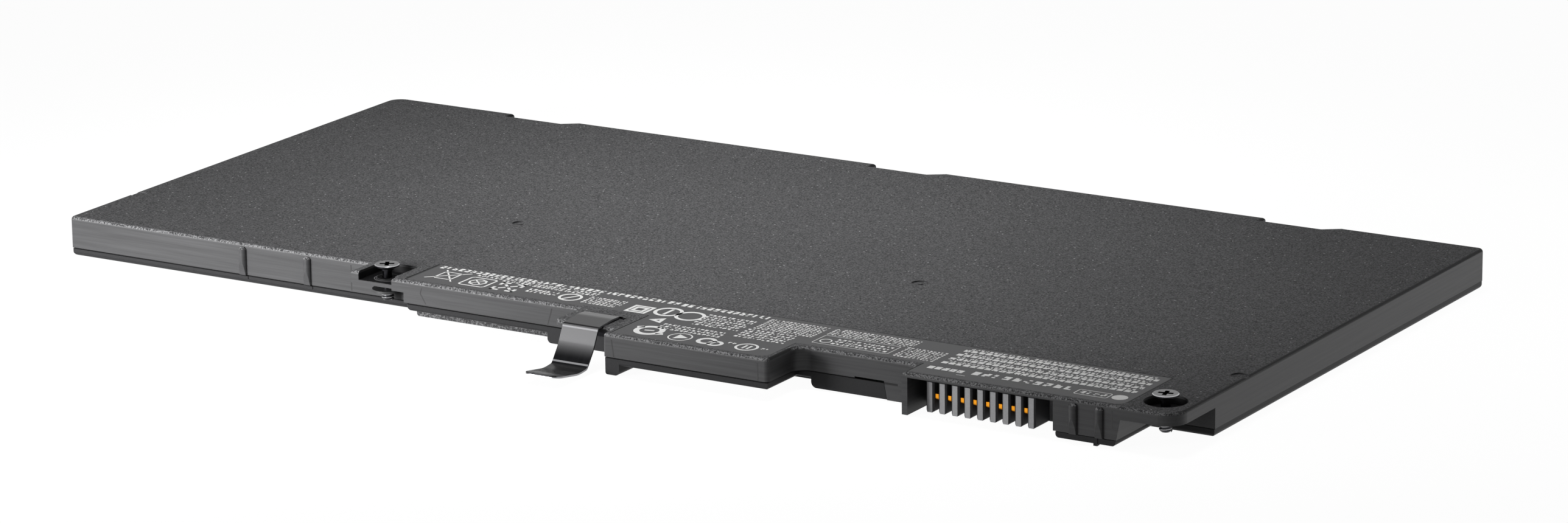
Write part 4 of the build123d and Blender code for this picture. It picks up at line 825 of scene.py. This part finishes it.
class BATTERY_OT_label_print(bpy.types.Operator):
    """Generic print on the label: rows of small marks, rings, brackets and boxes"""
    bl_idname = "battery.label_print"
    bl_label = "Label print"

    def execute(self, context):
        look = context.scene.battery_label
        chance = random.Random(look.seed)
        parts = [mark_cells(*row, chance) for row in PRINT_LINES]
        parts += [mark_cells(*row, chance, fill=True) for row in PRINT_BLOCKS]
        parts += [mark_cells(*row, chance) for row in PRINT_BOLD]
        # Crossed bars over a box, near the label's left end
        parts += [flat_bar(82.3, -0.2, 7.6, 0.3, 128), flat_bar(82.1, -0.1, 8.4, 0.3, 42)]
        parts += box_outline(80.4, 83.8, -2.2, 1.8, 0.3)
        # Square outline with an eight-sided ring and two crossed bars inside
        parts += box_outline(86.4, 91.5, -3.6, 1.3, look.stroke / MM)
        parts.append(flat_ring(88.95, -1.15, 1.75, 1.4, 8))
        parts += [flat_bar(88.95, -1.15, 3.0, 0.3, turn) for turn in (45, -45)]
        parts += corner_brackets(95.2, -1.3)
        # Ring with a bar across
        parts += [flat_ring(108.1, -1.5, 2.15, 1.65), flat_bar(108.1, -1.5, 3.4, 0.45, 60)]
        # Two squares, one in the other, and two large rings, the first with a bar
        parts += [flat_ring(122.5, -2.1, outer, inner, 4, 45) for outer, inner in ((2.9, 2.35), (1.8, 1.2))]
        parts += [flat_ring(127.6, -1.2, 2.6, 1.95), flat_ring(132.2, -1.7, 2.7, 2.05)]
        parts.append(flat_bar(127.6, -1.2, 3.4, 0.55, 90))
        # Triangle
        parts.append(flat_ring(128.8, -6.3, 1.75, 1.1, 3, 100))
        # Row of rings along the block: with arms, with a triangle, two overlapping, and with two bars
        parts += [flat_ring(130.8, -12.2, 2.7, 1.7), flat_bar(130.8, -12.2, 1.7, 0.5, 15)]
        parts += [flat_bar(128.4, -11.0, 1.3, 0.9, 30), flat_bar(133.4, -13.3, 1.3, 0.9, 30)]
        parts += [flat_ring(137.4, -13.1, 2.15, 1.9), flat_ring(137.4, -13.1, 1.5, 0, 3, 30)]
        parts += [flat_ring(142.5, -13.0, 1.8, 1.05), flat_ring(144.5, -13.6, 1.45, 0.8)]
        parts.append(flat_ring(150.2, -12.9, 2.05, 1.6))
        parts += [flat_bar(x, -12.9, 0.4, 1.9) for x in (149.8, 150.7)]
        # Frame line with a small ring in it
        parts += box_outline(158.0, 172.4, -5.2, -0.5, 0.14)
        parts.append(flat_ring(159.7, -3.4, 1.1, 0.85))
        # Box and disc at the right end, and a short line
        parts += box_outline(209.7, 215.6, -10.1, -7.6, 0.2)
        parts += [flat_ring(217.4, -8.7, 1.35, 0, 32), flat_bar(189.0, -10.1, 1.6, 0.14)]
        join(parts)
        settle("label_print", screen_ink(), "pack")
        return {"FINISHED"}


# Seams: places along each line, in millimetres from the slab's front left corner
SEAM_LINES = (
    ((61.5, 0.0, 1.7), (61.5, 0.0, 6.4)),  # slab, left of the notch
    ((81.6, -6.4, 3.6), (80.5, -6.4, 5.4), (80.8, -6.4, 6.4)),  # rail, left and right
    ((106.6, -6.4, 3.4), (107.5, -6.4, 6.4)),
    ((127.0, -17.4, 3.4), (126.6, -17.4, 6.4)),  # block, left and right
    ((155.0, -17.4, 3.4), (155.0, -17.4, 6.4)),
    ((218.4, -13.2, 3.4), (218.4, -13.2, 6.4)),  # rib block
)
SEAM_RISE = 0.2  # a seam's depth as a share of its width


def seam_ridge(points, width):
    """A fine ridge, half sunk in the wall: a small flattened circle drawn out along the line."""
    deselect()
    bpy.ops.mesh.primitive_circle_add(
        vertices=8, radius=width / 2, fill_type="NGON", location=on_slab(*points[0]))
    bpy.ops.object.mode_set(mode="EDIT")
    bpy.ops.mesh.select_all(action="SELECT")
    bpy.ops.transform.resize(value=(1, SEAM_RISE, 1))
    for start, end in zip(points, points[1:]):
        bpy.ops.mesh.extrude_region_move(TRANSFORM_OT_translate={"value": on_slab(*end) - on_slab(*start)})
    bpy.ops.mesh.select_all(action="SELECT")
    bpy.ops.mesh.normals_make_consistent(inside=False)
    bpy.ops.object.mode_set(mode="OBJECT")
    return bpy.context.object


class BATTERY_OT_mould_seams(bpy.types.Operator):
    """Fine raised lines on the front walls where the mould's slides meet"""
    bl_idname = "battery.mould_seams"
    bl_label = "Mould seams"

    def execute(self, context):
        width = context.scene.battery_case.seam_width
        join([seam_ridge(points, width) for points in SEAM_LINES])
        settle("mould_seams", spotted_finish("seam_abs", "#0c0c0d", "#161617", 0.4, 0.7), "pack")
        return {"FINISHED"}


# The threaded end of a screw, in millimetres. The crest is a flank-shaped strip turned round the axis.
THREAD_START = 0.15  # from the screw's tip
THREAD_LENGTH = 1.35
THREAD_RADIUS = 1.0
THREAD_ROOT = 0.05  # the crest's foot is sunk this deep
FLANK_FOOT = 0.36  # half the crest's width at its foot and at its top, as shares of the pitch
FLANK_TOP = 0.08
THREAD_STEPS = 48  # facets in a full turn


class BATTERY_OT_screw_threads(bpy.types.Operator):
    """Helical crests on the two captive screws"""
    bl_idname = "battery.screw_threads"
    bl_label = "Screw threads"

    def execute(self, context):
        look = context.scene.battery_thread
        steel = thread_steel()
        foot = THREAD_RADIUS * MM - THREAD_ROOT * MM
        top = THREAD_RADIUS * MM + look.height
        corners = (
            (foot, 0, -look.pitch * FLANK_FOOT), (foot, 0, look.pitch * FLANK_FOOT),
            (top, 0, look.pitch * FLANK_TOP), (top, 0, -look.pitch * FLANK_TOP),
        )
        for side in ("left", "right"):
            low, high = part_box(side + "_screw")
            centre = (low + high) / 2
            deselect()
            bpy.ops.mesh.primitive_plane_add(size=1)
            crest = context.object
            bpy.ops.object.mode_set(mode="EDIT")
            mesh = bmesh.from_edit_mesh(crest.data)
            # Round the square: up its left side, then down its right side
            around = sorted(mesh.verts, key=lambda v: (v.co.x, v.co.y * (1 if v.co.x < 0 else -1)))
            for vertex, corner in zip(around, corners):
                vertex.co = corner
            bmesh.update_edit_mesh(crest.data)
            bpy.ops.object.mode_set(mode="OBJECT")
            helix = crest.modifiers.new("Helix", "SCREW")
            helix.axis = "Z"
            helix.screw_offset = look.pitch
            helix.iterations = int(THREAD_LENGTH * MM / look.pitch)
            helix.steps = THREAD_STEPS
            helix.render_steps = THREAD_STEPS
            helix.use_smooth_shade = False
            bpy.ops.object.modifier_apply(modifier="Helix")
            crest.location = (centre.x, centre.y, low.z + THREAD_START * MM)
            settle(side + "_thread", steel, side + "_screw")
        return {"FINISHED"}


class BATTERY_OT_case_finish(bpy.types.Operator):
    """Plastic finishes of the two covers and the label film"""
    bl_idname = "battery.case_finish"
    bl_label = "Case finish"

    def execute(self, context):
        give(["top_cover"], spark_abs())
        give(["bottom_cover"], tray_abs())
        give(["label_film"], polyester_film())
        return {"FINISHED"}


class BATTERY_OT_metal_finish(bpy.types.Operator):
    """Metal finishes of the clip, the screws and the contacts"""
    bl_idname = "battery.metal_finish"
    bl_label = "Metal finish"

    def execute(self, context):
        give(["spring_clip"], spring_steel())
        for screw in SCREW_TURNS:
            give([screw], screw_steel(screw))
        give(["connector_contacts"], spotted_finish("gold_plating", "#cf8418", "#e89a2c", 0.8, 0.3, 1.0))
        return {"FINISHED"}


class BATTERY_OT_connector_finish(bpy.types.Operator):
    """Finish of the connector comb and the retaining rings"""
    bl_idname = "battery.connector_finish"
    bl_label = "Connector finish"

    def execute(self, context):
        give(["connector_housing"], nylon_with_painted_light())
        rings = ["left_retainer", "right_retainer"]
        give(rings, spotted_finish("black_nylon", "#1b1b1c", "#252526", 0.5, 0.5))
        return {"FINISHED"}


class BATTERY_OT_inner_finish(bpy.types.Operator):
    """Finishes of the cells, the board and what is soldered on it"""
    bl_idname = "battery.inner_finish"
    bl_label = "Inner finish"

    def execute(self, context):
        cells = ["cell_left", "cell_middle", "cell_right"]
        chips = ["gauge_chip", "power_transistors", "sense_resistor"]
        ceramics = ["chip_fuse", "board_capacitors"]
        give(cells, spotted_finish("laminated_foil", "#a8aaad", "#c2c4c7", 2.5, 0.35, 1.0, 0.05))
        give(["cell_tabs"], spotted_finish("nickel_strip", "#b5b2ab", "#cbc8c1", 0.6, 0.3, 1.0))
        give(["adhesive_pads"], spotted_finish("foam_tape", "#dcdcd6", "#ecece6", 0.5, 0.8))
        give(["protection_board"], spotted_finish("solder_mask", "#0e4a2a", "#14603a", 1.0, 0.35))
        give(chips, spotted_finish("epoxy_mould", "#1c1c1d", "#2b2b2c", 0.3, 0.6))
        give(ceramics, spotted_finish("fired_ceramic", "#a58a68", "#c2a883", 0.4, 0.5))
        give(["tab_tape"], spotted_finish("polyimide_film", "#b0741c", "#c98a2c", 1.5, 0.3))
        return {"FINISHED"}


# Stage. The floor and the lamps are in metres, the camera in millimetres, pixels and degrees.

WHITE = (1, 1, 1)
FLOOR_SIZE = 8
FLOOR_GLOW = 1.2  # how bright the floor looks where nothing shades it
FLOOR_SHARE = 0.8  # the glow's share in what the camera sees; the rest is lit paper, which keeps the shadow
# Name, setting for its power, size, spread, place and what it is aimed at
LAMPS = (
    ("key_softbox", "key_power", (0.7, 0.35), 180, (-0.51, -0.69, 0.16), (0, 0, 0)),
    ("low_softbox", "low_power", (0.16, 0.05), 62, (-0.17, -0.26, 0.05), (-0.085, -0.037, 0.004)),
    ("right_softbox", "right_power", (0.1, 0.06), 180, (0.24, 0.13, 0.05), (0.115, 0.05, 0.004)),
    ("top_softbox", "top_power", (0.2, 0.15), 34, (-0.02, 0.0, 0.45), (-0.01, 0.01, 0)),
)
CAMERA_ANGLES = (31.419, 15.334, -0.679)  # azimuth, elevation and roll
CAMERA_AIM = (119.831, 48.902, 3.0)
CAMERA_DISTANCE = 1040.028
CAMERA_FOCUS = 9720.28  # focal length in pixels of a picture this wide
PICTURE_WIDTH = 2576
SENSOR_WIDTH = 36
CAMERA_NEAR = 50  # nothing closer than this is drawn


def seen_directly(tree):
    """One where the camera looks, straight, by reflection or through glass, and zero for all other light."""
    path = add_node(tree, "ShaderNodeLightPath").outputs
    seen = add_node(tree, "ShaderNodeMath", {
        0: path["Is Camera Ray"], 1: path["Is Glossy Ray"],
    }, operation="MAXIMUM")
    return add_node(tree, "ShaderNodeMath", {0: seen, 1: path["Is Transmission Ray"]}, operation="MAXIMUM")


class BATTERY_OT_stage(bpy.types.Operator):
    """Pale floor, soft studio light and the camera"""
    bl_idname = "battery.stage"
    bl_label = "Stage"

    def execute(self, context):
        look = context.scene.battery_stage
        context.scene.view_settings.view_transform = "Standard"
        deselect()
        bpy.ops.mesh.primitive_plane_add(size=FLOOR_SIZE, location=(0, 0, 0))
        floor = context.object
        floor.name = "floor"
        material, tree = new_material("studio_floor")
        paper = add_node(tree, "ShaderNodeBsdfDiffuse", {"Color": look.floor_colour})
        glow = add_node(tree, "ShaderNodeEmission", {"Color": WHITE, "Strength": FLOOR_GLOW})
        share = add_node(tree, "ShaderNodeMath", {
            0: seen_directly(tree), 1: FLOOR_SHARE,
        }, operation="MULTIPLY")
        both = add_node(tree, "ShaderNodeMixShader", {0: share, 1: paper, 2: glow})
        add_node(tree, "ShaderNodeOutputMaterial", {"Surface": both})
        floor.data.materials.append(material)

        world = bpy.data.worlds.new("studio")
        context.scene.world = world
        world.use_nodes = True
        tree = world.node_tree
        tree.nodes.clear()
        strength = add_node(tree, "ShaderNodeMapRange", {
            "Value": seen_directly(tree), "To Min": look.ambient, "To Max": 1.0,
        })
        backdrop = add_node(tree, "ShaderNodeBackground", {"Color": WHITE, "Strength": strength})
        add_node(tree, "ShaderNodeOutputWorld", {"Surface": backdrop})

        for name, power, size, spread, place, aim in LAMPS:
            deselect()
            turn = (Vector(aim) - Vector(place)).to_track_quat("-Z", "Y").to_euler()
            bpy.ops.object.light_add(type="AREA", location=place, rotation=turn)
            lamp = context.object
            lamp.name = name
            lamp.data.shape = "RECTANGLE"
            lamp.data.size, lamp.data.size_y = size
            lamp.data.spread = math.radians(spread)
            lamp.data.energy = getattr(look, power)

        # The camera stands where the photograph was taken from, with its slight roll
        azimuth, elevation, roll = (math.radians(angle) for angle in CAMERA_ANGLES)
        level = math.cos(elevation)
        back = Vector((math.sin(azimuth) * level, -math.cos(azimuth) * level, math.sin(elevation)))
        right = Vector((math.cos(azimuth), math.sin(azimuth), 0))
        up = back.cross(right)
        right, up = math.cos(roll) * right + math.sin(roll) * up, math.cos(roll) * up - math.sin(roll) * right
        place = on_slab(*CAMERA_AIM) + back * CAMERA_DISTANCE * MM
        deselect()
        bpy.ops.object.camera_add(location=place)
        camera = context.object
        camera.name = "camera"
        camera.matrix_world = Matrix.Translation(place) @ Matrix((right, up, back)).transposed().to_4x4()
        camera.data.sensor_fit = "HORIZONTAL"
        camera.data.sensor_width = SENSOR_WIDTH
        camera.data.lens = CAMERA_FOCUS / PICTURE_WIDTH * SENSOR_WIDTH
        camera.data.clip_start = CAMERA_NEAR * MM
        context.scene.camera = camera
        return {"FINISHED"}


class BATTERY_PT_panel(bpy.types.Panel):
    """Lists the battery's steps and settings in the sidebar"""
    bl_idname = "BATTERY_PT_panel"
    bl_label = "Laptop battery"
    bl_space_type = "VIEW_3D"
    bl_region_type = "UI"
    bl_category = "Battery"

    def draw(self, context):
        for step in STEPS:
            self.layout.operator(step.bl_idname)
        for name, group in SETTINGS.items():
            settings = getattr(context.scene, name)
            box = self.layout.box()
            for key in group.__annotations__:
                box.prop(settings, key)


STEPS = (
    BATTERY_OT_stage,
    BATTERY_OT_case_finish,
    BATTERY_OT_metal_finish,
    BATTERY_OT_connector_finish,
    BATTERY_OT_inner_finish,
    BATTERY_OT_label_print,
    BATTERY_OT_mould_seams,
    BATTERY_OT_screw_threads,
)


def register():
    for group in SETTINGS.values():
        bpy.utils.register_class(group)
    for step in STEPS:
        bpy.utils.register_class(step)
    bpy.utils.register_class(BATTERY_PT_panel)
    for name, group in SETTINGS.items():
        setattr(bpy.types.Scene, name, bpy.props.PointerProperty(type=group))


def unregister():
    for name in SETTINGS:
        delattr(bpy.types.Scene, name)
    bpy.utils.unregister_class(BATTERY_PT_panel)
    for step in reversed(STEPS):
        bpy.utils.unregister_class(step)
    for group in reversed(SETTINGS.values()):
        bpy.utils.unregister_class(group)


def main():
    register()
    bpy.ops.battery.stage()
    bpy.ops.battery.case_finish()
    bpy.ops.battery.metal_finish()
    bpy.ops.battery.connector_finish()
    bpy.ops.battery.inner_finish()
    bpy.ops.battery.label_print()
    bpy.ops.battery.mould_seams()
    bpy.ops.battery.screw_threads()


if __name__ == "__main__":
    main()
